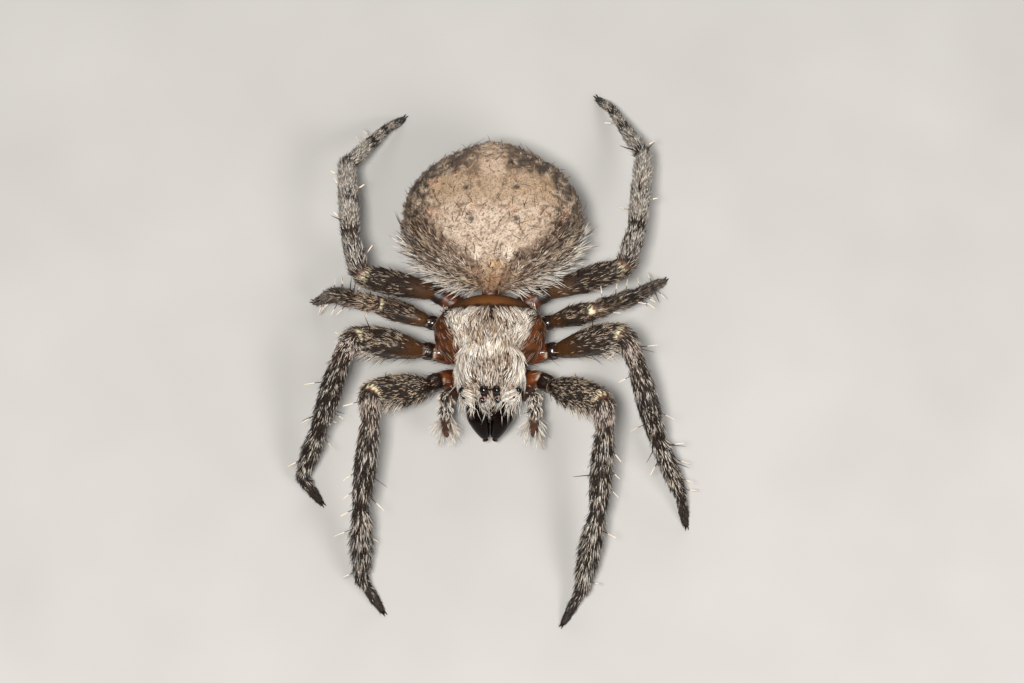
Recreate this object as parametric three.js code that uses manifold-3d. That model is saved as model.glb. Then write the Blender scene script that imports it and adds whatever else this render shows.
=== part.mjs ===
// A grown female orb weaver spider at life size, standing on a flat floor with its back up.
// Millimetres, +Z up. The head looks along -Y, the spider's right side is -X, and the origin
// lies on the floor under the middle of the spider. Every solid is measured to the tips of
// its coat, so each holds the body inside it together with the hair that lies on it.
import * as THREE from 'three';
import { mergeVertices } from 'three/addons/utils/BufferGeometryUtils.js';
import Module from 'manifold-3d';

const wasm = await Module();
wasm.setup();

// ---- Driving dimensions ----------------------------------------------------------------

const GAP = 0.04; // width of the thin cut between neighbouring pieces
const SOCKET = 0.025; // clearance round an eye
const REACH = 40; // edge of the blocks that cut along a plane, longer than the spider
const FLOOR_DIP = -0.05; // height at which a tarsus would end, if the floor did not stop it

const HEAD = {
  front: -3.6, rear: 0.3, halfWidth: 1.72, rim: 3.5, top: 4.98, bottom: 2.3, boxy: 2.9, blunt: 0.36,
};
const THORAX = {
  front: -1.85, rear: 2.02, halfWidth: 2.63, rim: 3.3, top: 4.62, bottom: 2.2, boxy: 2.2, blunt: 0.5,
};
const EYE_MOUND = { centre: [0, -3.22, 4.36], size: [0.58, 0.36, 0.34] };
const SIDE_MOUND = { centre: [1.17, -2.98, 3.98], size: [0.3, 0.34, 0.28] };
const EYES = [
  { name: 'rear_median', centre: [0.28, -3.1, 4.64], radius: 0.2 },
  { name: 'front_median', centre: [0.34, -3.49, 4.38], radius: 0.16 },
  { name: 'rear_side', centre: [1.25, -2.93, 4.15], radius: 0.13 },
  { name: 'front_side', centre: [1.13, -3.22, 4.04], radius: 0.12 },
];
const WAIST_CUT = 2.5; // level of the seam between the carapace and the sternum
const STERNUM = {
  front: -2.05, rear: 1.95, halfWidth: 1.32, rim: 2.35, top: 2.8, bottom: 1.55, boxy: 2.2, blunt: 0.45,
};

const ABDOMEN = {
  front: 1.72, rear: 8.9, halfWidth: 4.2, halfHeight: 3.08, height: 4.66, aside: 0.1,
  droop: 0.05, shoulder: 0.06, point: 0.18, blunt: 0.07, flatBelly: 0.12,
};
const PEDICEL = { joints: [[0, 1.5, 3.1], [0, 3.1, 3.5]], radius: 0.42 };
const SPINNERET = {
  centre: [0, 7.35, 2.12], cushion: [0.58, 0.6, 0.34], spread: 0.34, length: 0.85, radius: 0.27,
  back: 0.45, splay: 0.4,
};

const CHELICERA = {
  joints: [[0.62, -3.1, 3.75], [0.54, -3.77, 2.95], [0.2, -4.42, 1.84]],
  base: 0.48, belly: 0.55, end: 0.2,
};
const FANG = {
  joints: [[0.2, -4.45, 1.7], [0.28, -4.43, 1.44], [0.1, -4.16, 1.24]],
  base: 0.12, bend: 0.1, tip: 0.04,
};
const MAXILLA = { centre: [0.48, -2.55, 2.02], size: [0.44, 0.6, 0.42] };
const LABIUM = { centre: [0, -2.3, 1.98], size: [0.34, 0.34, 0.34] };
const PALP = {
  joints: [
    [0.9, -2.4, 2.15], [1.4, -2.62, 2.38], [1.98, -2.76, 3.2],
    [2.02, -3.28, 3.22], [2.02, -3.76, 2.92], [1.98, -4.62, 2.2],
  ],
  split: 3, // joint between the two palp pieces, at the end of the patella
  segments: [
    { start: 0.27, end: 0.28, swell: 0, rings: 0 },
    { start: 0.28, end: 0.3, swell: 0.05, rings: 1 },
    { start: 0.3, end: 0.34, swell: 0.03, rings: 0 },
    { start: 0.34, end: 0.36, swell: 0.02, rings: 0 },
    { start: 0.34, end: 0.16, swell: 0.08, rings: 2 },
  ],
};

// Outer radii of a leg of full girth, with `rings` extra sections along each segment.
const SEGMENTS = [
  { name: 'coxa', start: 0.42, end: 0.42, swell: 0.08, rings: 1 },
  { name: 'trochanter', start: 0.42, end: 0.4, swell: 0.04, rings: 0 },
  { name: 'femur', start: 0.42, end: 0.53, swell: 0.17, rings: 2 },
  { name: 'patella', start: 0.5, end: 0.48, swell: 0.03, rings: 1 },
  { name: 'tibia', start: 0.48, end: 0.44, swell: 0.08, rings: 2 },
  { name: 'metatarsus', start: 0.42, end: 0.31, swell: 0.04, rings: 2 },
  { name: 'tarsus', start: 0.3, end: 0.2, swell: 0.05, rings: 2 },
];
// The pieces of a leg, each from one joint to another along the list of segments.
const LEG_PIECES = [
  { name: 'base', from: 0, to: 2, finish: 'cuticle' },
  { name: 'femur', from: 2, to: 3, finish: 'femur' },
  { name: 'shin', from: 3, to: 5, finish: 'shin' },
  { name: 'foot', from: 5, to: 7, finish: 'foot' },
];
// The four pairs, from the front. `root`, `knuckle` and `hip` are the ends of the coxa and of
// the trochanter on the left side. `lengths` runs from the femur to the tarsus. A pose gives
// each segment's heading, in degrees forward of straight out, and its climb. The tarsus has
// only a heading, because its climb is what brings it to the floor. `fuller` adds to the swell
// of single segments.
const LEGS = [
  {
    root: [1.2, -1.78, 2.15], knuckle: [2.3, -1.92, 2.72], hip: [2.85, -2.35, 2.9], girth: 1,
    fuller: { femur: 0.11, tibia: 0.05, metatarsus: 0.19 },
    lengths: [3.9, 1.3, 3.85, 3.8, 2.05],
    right: { heading: [24, 94, 83, 89, 128], climb: [43, -7, -23, -46] },
    left: { heading: [35, 86, 95, 103, 123], climb: [46, -14, -33, -34] },
  },
  {
    root: [1.25, -0.62, 2.15], knuckle: [2.62, -0.55, 2.68], hip: [3.15, -0.55, 2.8], girth: 1,
    fuller: { femur: 0.11, tibia: 0.05, metatarsus: 0.1 },
    lengths: [3.85, 1.55, 3.55, 2.95, 1.75],
    right: { heading: [3, 69, 67, 62, 134], climb: [37, 24, -43, -50] },
    left: { heading: [1, 64, 72, 64, 76], climb: [41, -26, -32, -32] },
  },
  {
    root: [1.2, 0.5, 2.15], knuckle: [2.42, 0.84, 2.52], hip: [2.9, 0.95, 2.6], girth: 0.84,
    lengths: [2.5, 1.25, 1.65, 2.1, 1.4],
    right: { heading: [-13, 6, -32, -47, -23], climb: [20, 40, -41, -68] },
    left: { heading: [3, -34, -36, -48, -51], climb: [42, -31, -40, -45] },
  },
  {
    root: [0.95, 1.5, 2.15], knuckle: [2.12, 2.08, 2.6], hip: [2.6, 2.35, 2.7], girth: 1,
    lengths: [4.05, 2.0, 4.35, 4.05, 1.8],
    right: { heading: [1, -76, -86, -122, -129], climb: [35, -5, -19, -34] },
    left: { heading: [-8, -74, -84, -114, -123], climb: [27, -3, -17, -29] },
  },
];

// How many sides, or sides and rings, the forms are built with.
const FACETS = {
  leg: 8, palp: 7, fang: 5, eye: [7, 4], mound: [7, 5], cushion: [7, 4],
  shield: [16, 9], sternum: [12, 7], abdomen: [24, 14],
};
const SIDES = { right: -1, left: 1 };

const FINISH = {
  carapace: { color: '#b8a896', roughness: 0.8 },
  abdomen: { color: '#b59f83', roughness: 0.85 },
  sternum: { color: '#3a2216', roughness: 0.5 },
  cuticle: { color: '#6e3215', roughness: 0.3 },
  mouth: { color: '#160d0a', roughness: 0.22 },
  eye: { color: '#120a08', roughness: 0.08 },
  femur: { color: '#5e5247', roughness: 0.75 },
  shin: { color: '#857b70', roughness: 0.8 },
  foot: { color: '#6d655c', roughness: 0.8 },
  palp: { color: '#8b7462', roughness: 0.7 },
};

// ---- Solids ----------------------------------------------------------------------------

// The solid inside a closed geometry.
function solidOf(geometry) {
  const bare = geometry.clone();
  bare.deleteAttribute('normal');
  bare.deleteAttribute('uv');
  const merged = mergeVertices(bare);
  const mesh = new wasm.Mesh({
    numProp: 3,
    vertProperties: new Float32Array(merged.attributes.position.array),
    triVerts: new Uint32Array(merged.index.array),
  });
  return new wasm.Manifold(mesh);
}

function geometryOf(solid) {
  const mesh = solid.getMesh();
  const geometry = new THREE.BufferGeometry();
  geometry.setAttribute('position', new THREE.BufferAttribute(mesh.vertProperties, 3));
  geometry.setIndex(new THREE.BufferAttribute(mesh.triVerts, 1));
  geometry.computeVertexNormals();
  return geometry;
}

// A named mesh of the solid, in one of the finishes above.
function piece(name, solid, finish) {
  const material = new THREE.MeshStandardMaterial({ ...FINISH[finish], metalness: 0 });
  const mesh = new THREE.Mesh(geometryOf(solid), material);
  mesh.name = name;
  return mesh;
}

// A block that covers everything on one side of a plane: above or below a level, or beyond
// the midline as seen from the given side.
function block(x, y, z) {
  return solidOf(new THREE.BoxGeometry(REACH, REACH, REACH).translate(x, y, z));
}

function everythingAbove(level) {
  return block(0, 0, level + REACH / 2);
}

function everythingBelow(level) {
  return block(0, 0, level - REACH / 2);
}

function everythingAcross(margin, side) {
  return block(SIDES[side] * (margin - REACH / 2), 0, 0);
}

function carve(solid, cutters) {
  return cutters.reduce((rest, cutter) => rest.subtract(cutter), solid);
}

function ellipsoid(centre, size, [around, rings]) {
  const ball = new THREE.SphereGeometry(1, around, rings);
  return solidOf(ball.scale(...size).translate(...centre));
}

// The same point on the given side of the spider.
function onSide([x, y, z], side) {
  return [x * SIDES[side], y, z];
}

// ---- Bodies of rings along Y -----------------------------------------------------------

// Turns a ball with its poles on Y into a body. section(s, angle) gives the X and Z of the
// ring at s, which runs from -1 at the front to 1 at the rear.
function ringBody({ front, rear }, [around, rings], section) {
  const ball = new THREE.SphereGeometry(1, around, rings);
  const points = ball.attributes.position;
  for (let i = 0; i < points.count; i += 1) {
    const s = THREE.MathUtils.clamp(points.getY(i), -1, 1);
    const angle = Math.atan2(points.getZ(i), points.getX(i));
    const [x, z] = section(s, angle);
    points.setXYZ(i, x, THREE.MathUtils.lerp(front, rear, (s + 1) / 2), z);
  }
  return solidOf(ball);
}

// cos or sin of the angle on a superellipse of the given exponent: 2 is round, more is boxy.
function rounded(value, boxy) {
  return Math.sign(value) * Math.abs(value) ** (2 / boxy);
}

// A shield with a wide rim, a domed top and a shallower underside.
function shield(form, facets) {
  return ringBody(form, facets, (s, angle) => {
    const shrink = (1 - s * s) ** form.blunt;
    const rise = rounded(Math.sin(angle), form.boxy) * shrink;
    const height = rise > 0 ? form.top - form.rim : form.rim - form.bottom;
    return [form.halfWidth * rounded(Math.cos(angle), form.boxy) * shrink, form.rim + height * rise];
  });
}

// The abdomen is blunt in front, widest ahead of its middle and tapers a little to the rear,
// where it also sinks. Its belly is flatter than its back, and it swings a little aside.
function abdomenBody(extra = 0) {
  const { halfWidth, halfHeight, height, droop, shoulder, point, blunt, flatBelly, aside } = ABDOMEN;
  const ends = { front: ABDOMEN.front - extra, rear: ABDOMEN.rear + extra };
  return ringBody(ends, FACETS.abdomen, (s, angle) => {
    const taper = s > 0 ? point * s : blunt * s;
    const plan = (1 - s * s) ** (0.5 + taper) * (1 - shoulder * s);
    const profile = (1 - s * s) ** (0.5 + Math.min(taper, 0) / 2) * (1 - (shoulder / 2) * s);
    const lift = Math.sin(angle) * (Math.sin(angle) < 0 ? 1 - flatBelly : 1);
    const x = aside + (halfWidth + extra) * Math.cos(angle) * plan;
    return [x, height - droop * s + (halfHeight + extra) * lift * profile];
  });
}

// ---- Limbs -----------------------------------------------------------------------------

function vectors(joints) {
  return joints.map((joint) => new THREE.Vector3(...joint));
}

// Sections along a limb with rounded bends, from joint `from` to joint `to`. Each has a
// centre, the direction of the limb there and a radius. `extra` widens them and lengthens
// the limb by the same amount, which makes a cutter that clears the limb.
function limbSections(joints, segments, from, to, extra) {
  const directions = segments.map((_, i) => joints[i + 1].clone().sub(joints[i]).normalize());
  const jointRadius = (i) => {
    const before = segments[Math.max(i - 1, 0)];
    const after = segments[Math.min(i, segments.length - 1)];
    if (i === 0) return after.start;
    return i === segments.length ? before.end : (before.end + after.start) / 2;
  };
  const trim = (i) => {
    if (i === 0 || i === segments.length) return 0;
    const half = directions[i - 1].angleTo(directions[i]) / 2;
    return Math.max(0.1, 1.12 * jointRadius(i) * Math.tan(half));
  };
  const sections = [];
  const add = (centre, along, radius) => sections.push({ centre, along, radius: radius + extra });
  const addJoint = (i, shift) => {
    const incoming = directions[Math.max(i - 1, 0)];
    const outgoing = directions[Math.min(i, segments.length - 1)];
    const along = incoming.clone().add(outgoing).normalize();
    const inward = outgoing.clone().sub(incoming).multiplyScalar(trim(i) / 4);
    add(joints[i].clone().add(inward).addScaledVector(along, shift), along, jointRadius(i));
  };
  const cut = (i) => (i === 0 || i === segments.length ? 0 : GAP / 2);
  addJoint(from, cut(from) - extra);
  for (let i = from; i < to; i += 1) {
    const { start, end, swell, rings } = segments[i];
    const length = joints[i].distanceTo(joints[i + 1]);
    const first = Math.max(trim(i), 0.12);
    const last = length - Math.max(trim(i + 1), 0.12);
    for (let k = 0; k <= rings + 1; k += 1) {
      const distance = THREE.MathUtils.lerp(first, last, k / (rings + 1));
      const share = distance / length;
      const radius = THREE.MathUtils.lerp(start, end, share) + swell * Math.sin(Math.PI * share);
      add(joints[i].clone().addScaledVector(directions[i], distance), directions[i], radius);
    }
    if (i + 1 < to) addJoint(i + 1, 0);
  }
  addJoint(to, extra - cut(to));
  return sections;
}

// A closed tube through the sections, made from a cylinder with one step between sections.
function tube(sections, around) {
  const steps = sections.length - 1;
  const sideways = [];
  let across = new THREE.Vector3(0, 0, 1);
  for (const { along } of sections) {
    across = across.clone().addScaledVector(along, -across.dot(along)).normalize();
    sideways.push(across);
  }
  const cylinder = new THREE.CylinderGeometry(1, 1, 1, around, steps);
  const points = cylinder.attributes.position;
  for (let i = 0; i < points.count; i += 1) {
    const k = Math.round((0.5 - points.getY(i)) * steps);
    const { centre, along, radius } = sections[k];
    const point = centre.clone();
    point.addScaledVector(sideways[k], radius * points.getX(i));
    point.addScaledVector(along.clone().cross(sideways[k]), radius * points.getZ(i));
    points.setXYZ(i, point.x, point.y, point.z);
  }
  return solidOf(cylinder);
}

// ---- Legs ------------------------------------------------------------------------------

// The joints of a leg: the two ends of the coxa, the hip, and the end of each segment.
function legJoints(leg, side) {
  const joints = vectors([leg.root, leg.knuckle, leg.hip].map((point) => onSide(point, side)));
  const { heading, climb } = leg[side];
  leg.lengths.forEach((length, i) => {
    const last = joints[joints.length - 1];
    const isTarsus = i === climb.length;
    const rise = isTarsus ? FLOOR_DIP - last.z : length * Math.sin(THREE.MathUtils.degToRad(climb[i]));
    const reach = Math.sqrt(length * length - rise * rise);
    const turn = THREE.MathUtils.degToRad(heading[i]);
    const step = new THREE.Vector3(SIDES[side] * reach * Math.cos(turn), -reach * Math.sin(turn), rise);
    joints.push(last.clone().add(step));
  });
  return joints;
}

function legSegments(leg) {
  const fuller = leg.fuller ?? {};
  return SEGMENTS.map(({ name, start, end, swell, rings }) => ({
    start: start * leg.girth,
    end: end * leg.girth,
    swell: (swell + (fuller[name] ?? 0)) * leg.girth,
    rings,
  }));
}

function legPiece(leg, side, { from, to }, extra = 0) {
  return tube(limbSections(legJoints(leg, side), legSegments(leg), from, to, extra), FACETS.leg);
}

// ---- Head and body ---------------------------------------------------------------------

function palpPiece(side, from, to, extra = 0) {
  const joints = vectors(PALP.joints.map((joint) => onSide(joint, side)));
  return tube(limbSections(joints, PALP.segments, from, to, extra), FACETS.palp);
}

function wholePalp(side, extra) {
  return palpPiece(side, 0, PALP.segments.length, extra);
}

// The two chelicerae lean together, and the midline keeps them apart.
function chelicera(side, extra = 0) {
  const joints = vectors(CHELICERA.joints.map((joint) => onSide(joint, side)));
  const { base, belly, end } = CHELICERA;
  const segments = [
    { start: base, end: belly, swell: 0.03, rings: 1 },
    { start: belly, end, swell: 0.06, rings: 3 },
  ];
  const body = tube(limbSections(joints, segments, 0, segments.length, extra), FACETS.leg);
  return body.subtract(everythingAcross(GAP / 2 - extra, side));
}

function fang(side) {
  const joints = vectors(FANG.joints.map((joint) => onSide(joint, side)));
  const segments = [
    { start: FANG.base, end: FANG.bend, swell: 0, rings: 0 },
    { start: FANG.bend, end: FANG.tip, swell: 0, rings: 1 },
  ];
  return tube(limbSections(joints, segments, 0, segments.length, 0), FACETS.fang);
}

function waist(extra = 0) {
  const segment = { start: PEDICEL.radius, end: PEDICEL.radius, swell: 0, rings: 0 };
  return tube(limbSections(vectors(PEDICEL.joints), [segment], 0, 1, extra), FACETS.leg);
}

function eye({ centre, radius }, side, extra = 0) {
  return ellipsoid(onSide(centre, side), Array(3).fill(radius + extra), FACETS.eye);
}

const sides = Object.keys(SIDES);
const legRoots = sides.flatMap((side) => LEGS.map((leg) => legPiece(leg, side, LEG_PIECES[0], GAP)));
const mouthRoots = sides.flatMap((side) => [chelicera(side, GAP), wholePalp(side, GAP)]);
const eyeSockets = sides.flatMap((side) => EYES.map((form) => eye(form, side, SOCKET)));

// The shield over head and thorax, with a mound under the four middle eyes and one under each
// side pair. The creases between head and thorax are where their two shields meet.
function carapace() {
  let body = shield(THORAX, FACETS.shield).add(shield(HEAD, FACETS.shield));
  body = body.add(ellipsoid(EYE_MOUND.centre, EYE_MOUND.size, FACETS.mound));
  for (const side of sides) {
    body = body.add(ellipsoid(onSide(SIDE_MOUND.centre, side), SIDE_MOUND.size, FACETS.mound));
  }
  const underside = everythingBelow(WAIST_CUT + GAP / 2);
  return carve(body, [underside, ...legRoots, ...mouthRoots, ...eyeSockets, waist(GAP)]);
}

function sternum() {
  const body = shield(STERNUM, FACETS.sternum);
  return carve(body, [everythingAbove(WAIST_CUT - GAP / 2), ...legRoots]);
}

// The two maxillae and the labium between them.
function mouthparts() {
  let body = ellipsoid(LABIUM.centre, LABIUM.size, FACETS.mound);
  for (const side of sides) {
    body = body.add(ellipsoid(onSide(MAXILLA.centre, side), MAXILLA.size, FACETS.mound));
  }
  const breast = shield({ ...STERNUM, front: STERNUM.front - GAP }, FACETS.sternum);
  return carve(body, [breast, ...legRoots, ...mouthRoots]);
}

// Four short cones round the middle of the cluster, leaning back and outward.
function spinnerets() {
  const { centre, cushion, spread, length, radius, back, splay } = SPINNERET;
  const cone = { start: radius, end: radius / 2.5, swell: radius / 6, rings: 0 };
  let cluster = ellipsoid(centre, cushion, FACETS.cushion);
  for (let i = 0; i < 4; i += 1) {
    const turn = ((i + 0.5) * Math.PI) / 2;
    const out = new THREE.Vector3(Math.cos(turn), Math.sin(turn), 0);
    const start = new THREE.Vector3(...centre).addScaledVector(out, spread);
    const along = new THREE.Vector3(0, back, -1).addScaledVector(out, splay).normalize();
    const tip = start.clone().addScaledVector(along, length);
    cluster = cluster.add(tube(limbSections([start, tip], [cone], 0, 1, 0), FACETS.fang));
  }
  return cluster.subtract(abdomenBody(GAP));
}

// ---- Assembly --------------------------------------------------------------------------

const spider = new THREE.Group();

spider.add(piece('carapace', carapace(), 'carapace'));
spider.add(piece('sternum', sternum(), 'sternum'));
spider.add(piece('pedicel', waist().subtract(abdomenBody(GAP)), 'cuticle'));
spider.add(piece('abdomen', abdomenBody(), 'abdomen'));
spider.add(piece('spinnerets', spinnerets(), 'cuticle'));
spider.add(piece('mouthparts', mouthparts(), 'mouth'));

for (const side of sides) {
  for (const form of EYES) {
    spider.add(piece(`eye_${form.name}_${side}`, eye(form, side), 'eye'));
  }
  spider.add(piece(`chelicera_${side}`, chelicera(side), 'mouth'));
  spider.add(piece(`fang_${side}`, fang(side), 'mouth'));
  spider.add(piece(`palp_upper_${side}`, palpPiece(side, 0, PALP.split), 'palp'));
  spider.add(piece(`palp_lower_${side}`, palpPiece(side, PALP.split, PALP.segments.length), 'palp'));
  LEGS.forEach((leg, i) => {
    for (const part of LEG_PIECES) {
      const solid = legPiece(leg, side, part).subtract(everythingBelow(0));
      spider.add(piece(`leg_${i + 1}_${part.name}_${side}`, solid, part.finish));
    }
  });
}

export default spider;
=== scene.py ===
"""A grown female orb weaver spider at life size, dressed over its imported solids.

Shapes are worked out in millimetres, in the frame of the solids: the head looks along -Y, the
spider's right side is -X and the floor is at Z = 0. Meshes are written in metres. A station
is a place along a limb: 2.25 lies a quarter of the way along its third segment.
"""

import math

import bpy
import numpy as np
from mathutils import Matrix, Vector
from mathutils.kdtree import KDTree


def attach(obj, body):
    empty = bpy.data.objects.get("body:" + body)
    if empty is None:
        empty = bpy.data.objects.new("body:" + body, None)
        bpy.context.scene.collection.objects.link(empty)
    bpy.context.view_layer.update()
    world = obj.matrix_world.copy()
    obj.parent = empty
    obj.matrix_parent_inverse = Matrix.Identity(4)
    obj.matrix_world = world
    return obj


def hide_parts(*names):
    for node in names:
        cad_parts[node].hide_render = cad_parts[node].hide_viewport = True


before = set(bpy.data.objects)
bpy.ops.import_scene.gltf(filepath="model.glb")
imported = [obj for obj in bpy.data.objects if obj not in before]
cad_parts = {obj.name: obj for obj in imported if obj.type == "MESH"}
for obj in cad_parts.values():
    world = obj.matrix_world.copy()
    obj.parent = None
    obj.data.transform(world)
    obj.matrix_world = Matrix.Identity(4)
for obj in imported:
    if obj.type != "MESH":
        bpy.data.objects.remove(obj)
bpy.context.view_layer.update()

MM = 0.001
TURN = 2 * math.pi
UP = np.array([0.0, 0.0, 1.0])
SIDES = {"right": -1, "left": 1}
MIRROR = np.array([-1.0, 1.0, 1.0])

# ---- Sizes of the solids, in millimetres

HEAD = {
    "front": -3.6, "rear": 0.3, "half_width": 1.72, "rim": 3.5, "top": 4.98, "bottom": 2.3,
    "boxy": 2.9, "blunt": 0.36,
}
THORAX = {
    "front": -1.85, "rear": 2.02, "half_width": 2.63, "rim": 3.3, "top": 4.62, "bottom": 2.2,
    "boxy": 2.2, "blunt": 0.5,
}
BRIDGE = {
    "front": -2.5, "rear": 1.45, "half_width": 1.62, "rim": 3.4, "top": 4.84, "bottom": 2.4,
    "boxy": 2.1, "blunt": 0.5,
}
STERNUM = {
    "front": -2.05, "rear": 1.95, "half_width": 1.32, "rim": 2.35, "top": 2.8, "bottom": 1.55,
    "boxy": 2.2, "blunt": 0.45,
}
EYE_MOUND = {"centre": (0, -3.22, 4.36), "size": (0.58, 0.36, 0.34)}
SIDE_MOUND = {"centre": (1.17, -2.98, 3.98), "size": (0.3, 0.34, 0.28)}
EYES = {
    "rear_median": {"centre": (0.28, -3.1, 4.64), "radius": 0.2, "looks": (0.2, -0.35, 0.9)},
    "front_median": {"centre": (0.34, -3.49, 4.38), "radius": 0.16, "looks": (0.15, -0.85, 0.5)},
    "rear_side": {"centre": (1.25, -2.93, 4.15), "radius": 0.13, "looks": (0.8, -0.2, 0.6)},
    "front_side": {"centre": (1.13, -3.22, 4.04), "radius": 0.12, "looks": (0.6, -0.65, 0.45)},
}
ABDOMEN = {
    "front": 1.72, "rear": 8.9, "half_width": 4.2, "half_height": 3.08, "height": 4.66, "aside": 0.1,
    "droop": 0.05, "shoulder": 0.06, "point": 0.18, "blunt": 0.07, "flat_belly": 0.12,
}
PEDICEL = {"joints": ((0, 1.5, 3.1), (0, 3.1, 3.5)), "radius": 0.42}
SPINNERET = {
    "centre": (0, 7.35, 2.12), "cushion": (0.58, 0.6, 0.34), "spread": 0.34, "length": 0.85,
    "radius": 0.27, "back": 0.45, "splay": 0.4,
}
MAXILLA = {"centre": (0.48, -2.55, 2.02), "size": (0.44, 0.6, 0.42)}
LABIUM = {"centre": (0, -2.3, 1.98), "size": (0.34, 0.34, 0.34)}
CHELICERA = {"joints": ((0.62, -3.1, 3.75), (0.54, -3.77, 2.95), (0.2, -4.42, 1.84))}
FANG = {"joints": ((0.2, -4.45, 1.7), (0.28, -4.43, 1.44), (0.1, -4.16, 1.24))}
PALP_JOINTS = (
    (0.9, -2.4, 2.15), (1.4, -2.62, 2.38), (1.98, -2.76, 3.2),
    (2.02, -3.28, 3.22), (2.02, -3.76, 2.92), (1.98, -4.62, 2.2),
)
LEGS = (
    {
        "root": (1.2, -1.78, 2.15), "knuckle": (2.3, -1.92, 2.72), "hip": (2.85, -2.35, 2.9),
        "girth": 1.0, "lengths": (3.9, 1.3, 3.85, 3.8, 2.05),
        "right": {"heading": (24, 94, 83, 89, 128), "climb": (43, -7, -23, -46)},
        "left": {"heading": (35, 86, 95, 103, 123), "climb": (46, -14, -33, -34)},
    },
    {
        "root": (1.25, -0.62, 2.15), "knuckle": (2.62, -0.55, 2.68), "hip": (3.15, -0.55, 2.8),
        "girth": 1.0, "lengths": (3.85, 1.55, 3.55, 2.95, 1.75),
        "right": {"heading": (3, 69, 67, 62, 134), "climb": (37, 24, -43, -50)},
        "left": {"heading": (1, 64, 72, 64, 76), "climb": (41, -26, -32, -32)},
    },
    {
        "root": (1.2, 0.5, 2.15), "knuckle": (2.42, 0.84, 2.52), "hip": (2.9, 0.95, 2.6),
        "girth": 0.84, "lengths": (2.5, 1.25, 1.65, 2.1, 1.4),
        "right": {"heading": (-13, 6, -32, -47, -23), "climb": (20, 40, -41, -68)},
        "left": {"heading": (3, -34, -36, -48, -51), "climb": (42, -31, -40, -45)},
    },
    {
        "root": (0.95, 1.5, 2.15), "knuckle": (2.12, 2.08, 2.6), "hip": (2.6, 2.35, 2.7),
        "girth": 1.0, "lengths": (4.05, 2.0, 4.35, 4.05, 1.8),
        "right": {"heading": (1, -76, -86, -122, -129), "climb": (35, -5, -19, -34)},
        "left": {"heading": (-8, -74, -84, -114, -123), "climb": (27, -3, -17, -29)},
    },
)
FLOOR_DIP = -0.05  # height at which a tarsus would end, if the floor did not stop it

# ---- Sizes of the skin, which lies inside the coat

HEAD_COAT = 0.17  # depth of the hair on the head
THORAX_COAT = 0.06
MOUND_COAT = 0.07
SIDE_MOUND_COAT = 0.04
BARE_COAT = 0.03  # on the sternum and the pedicel
ABDOMEN_COAT = 0.1
# Radii of the skin of a leg of full girth, at the start and end of each segment, and how much
# it swells between.
LEG_SKIN = (
    (0.4, 0.4, 0.08), (0.4, 0.38, 0.04), (0.37, 0.43, 0.14), (0.41, 0.39, 0.03),
    (0.37, 0.34, 0.06), (0.3, 0.22, 0.02), (0.21, 0.13, 0.05),
)
FULLER = {1: (0, 0, 0.1, 0, 0.04, 0.1, 0), 2: (0, 0, 0.1, 0, 0.04, 0.06, 0)}  # added to the swell
PALP_SKIN = ((0.24, 0.26, 0), (0.26, 0.28, 0.04), (0.26, 0.26, 0.03), (0.24, 0.27, 0.02), (0.25, 0.1, 0.07))
LEG_STEP, LEG_RING = 0.07, 24  # spacing of the rings of a leg's mesh, and the points in a ring
PALP_STEPS, PALP_RING = 80, 16
SKIN_VOXEL = 0.09
SHELL_VOXEL = 0.05


def srgb(red, green, blue):
    """A colour given as on a screen, from 0 to 255, as linear light."""
    shares = np.array([red, green, blue]) / 255
    return np.where(shares <= 0.04045, shares / 12.92, ((shares + 0.055) / 1.055) ** 2.4)


# ---- Numbers and vectors


def unit(vectors):
    return vectors / np.maximum(np.linalg.norm(vectors, axis=-1, keepdims=True), 1e-12)


def ramp(values, low, high):
    """0 below low, 1 above high and a smooth climb between."""
    share = np.clip((values - low) / (high - low), 0, 1)
    return share * share * (3 - 2 * share)


def fade(values, low, high):
    """1 below low, 0 above high and a smooth fall between."""
    return 1 - ramp(values, low, high)


def blend(first, second, share):
    """Colours or numbers mixed by a share for each point."""
    share = np.asarray(share)
    if 3 in (*np.shape(first)[-1:], *np.shape(second)[-1:]):
        share = share[..., None]
    return first * (1 - share) + second * share


def waves(points, size, seed, count=20):
    """Smooth noise about 0, mostly within -2 and 2, made of waves of about the given size."""
    rng = np.random.default_rng(seed)
    ways = unit(rng.normal(size=(count, 3))) * rng.uniform(0.6, 1.5, (count, 1))
    phases = rng.uniform(0, TURN, count)
    return np.sin(points @ (ways * TURN / size).T + phases).sum(1) / math.sqrt(count / 2)


def spot(points, centre, size):
    """1 at the centre of a round or oval spot, falling to 0 at about its edge."""
    distance = np.linalg.norm((points - np.array(centre)) / np.array(size), axis=1)
    return fade(distance, 0.55, 1.15)


def from_table(table, places):
    """The values of a table of pairs at each place."""
    return np.interp(places, *np.array(table).T)


def folded(points, middle=0.0):
    """The points with X measured from a middle line, the same on both sides of it."""
    x, y, z = points.T
    return np.stack([np.abs(x - middle), y, z], -1)


# ---- Surfaces: each turns u, from 0 to 1, and the angle v into points


def superellipse(value, boxy):
    return np.sign(value) * np.abs(value) ** (2 / boxy)


def shrunk(form, depth):
    """The shield that lies depth inside another."""
    return {
        **form, "front": form["front"] + depth, "rear": form["rear"] - depth,
        "half_width": form["half_width"] - depth, "top": form["top"] - depth,
        "bottom": form["bottom"] + depth,
    }


def shield(form):
    def surface(u, v):
        shrink = np.sin(np.pi * u) ** (2 * form["blunt"])
        rise = superellipse(np.sin(v), form["boxy"]) * shrink
        height = np.where(rise > 0, form["top"] - form["rim"], form["rim"] - form["bottom"])
        x = form["half_width"] * superellipse(np.cos(v), form["boxy"]) * shrink
        y = form["front"] + (form["rear"] - form["front"]) * (1 - np.cos(np.pi * u)) / 2
        return np.stack([x, y, form["rim"] + height * rise], -1)

    return surface


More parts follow.
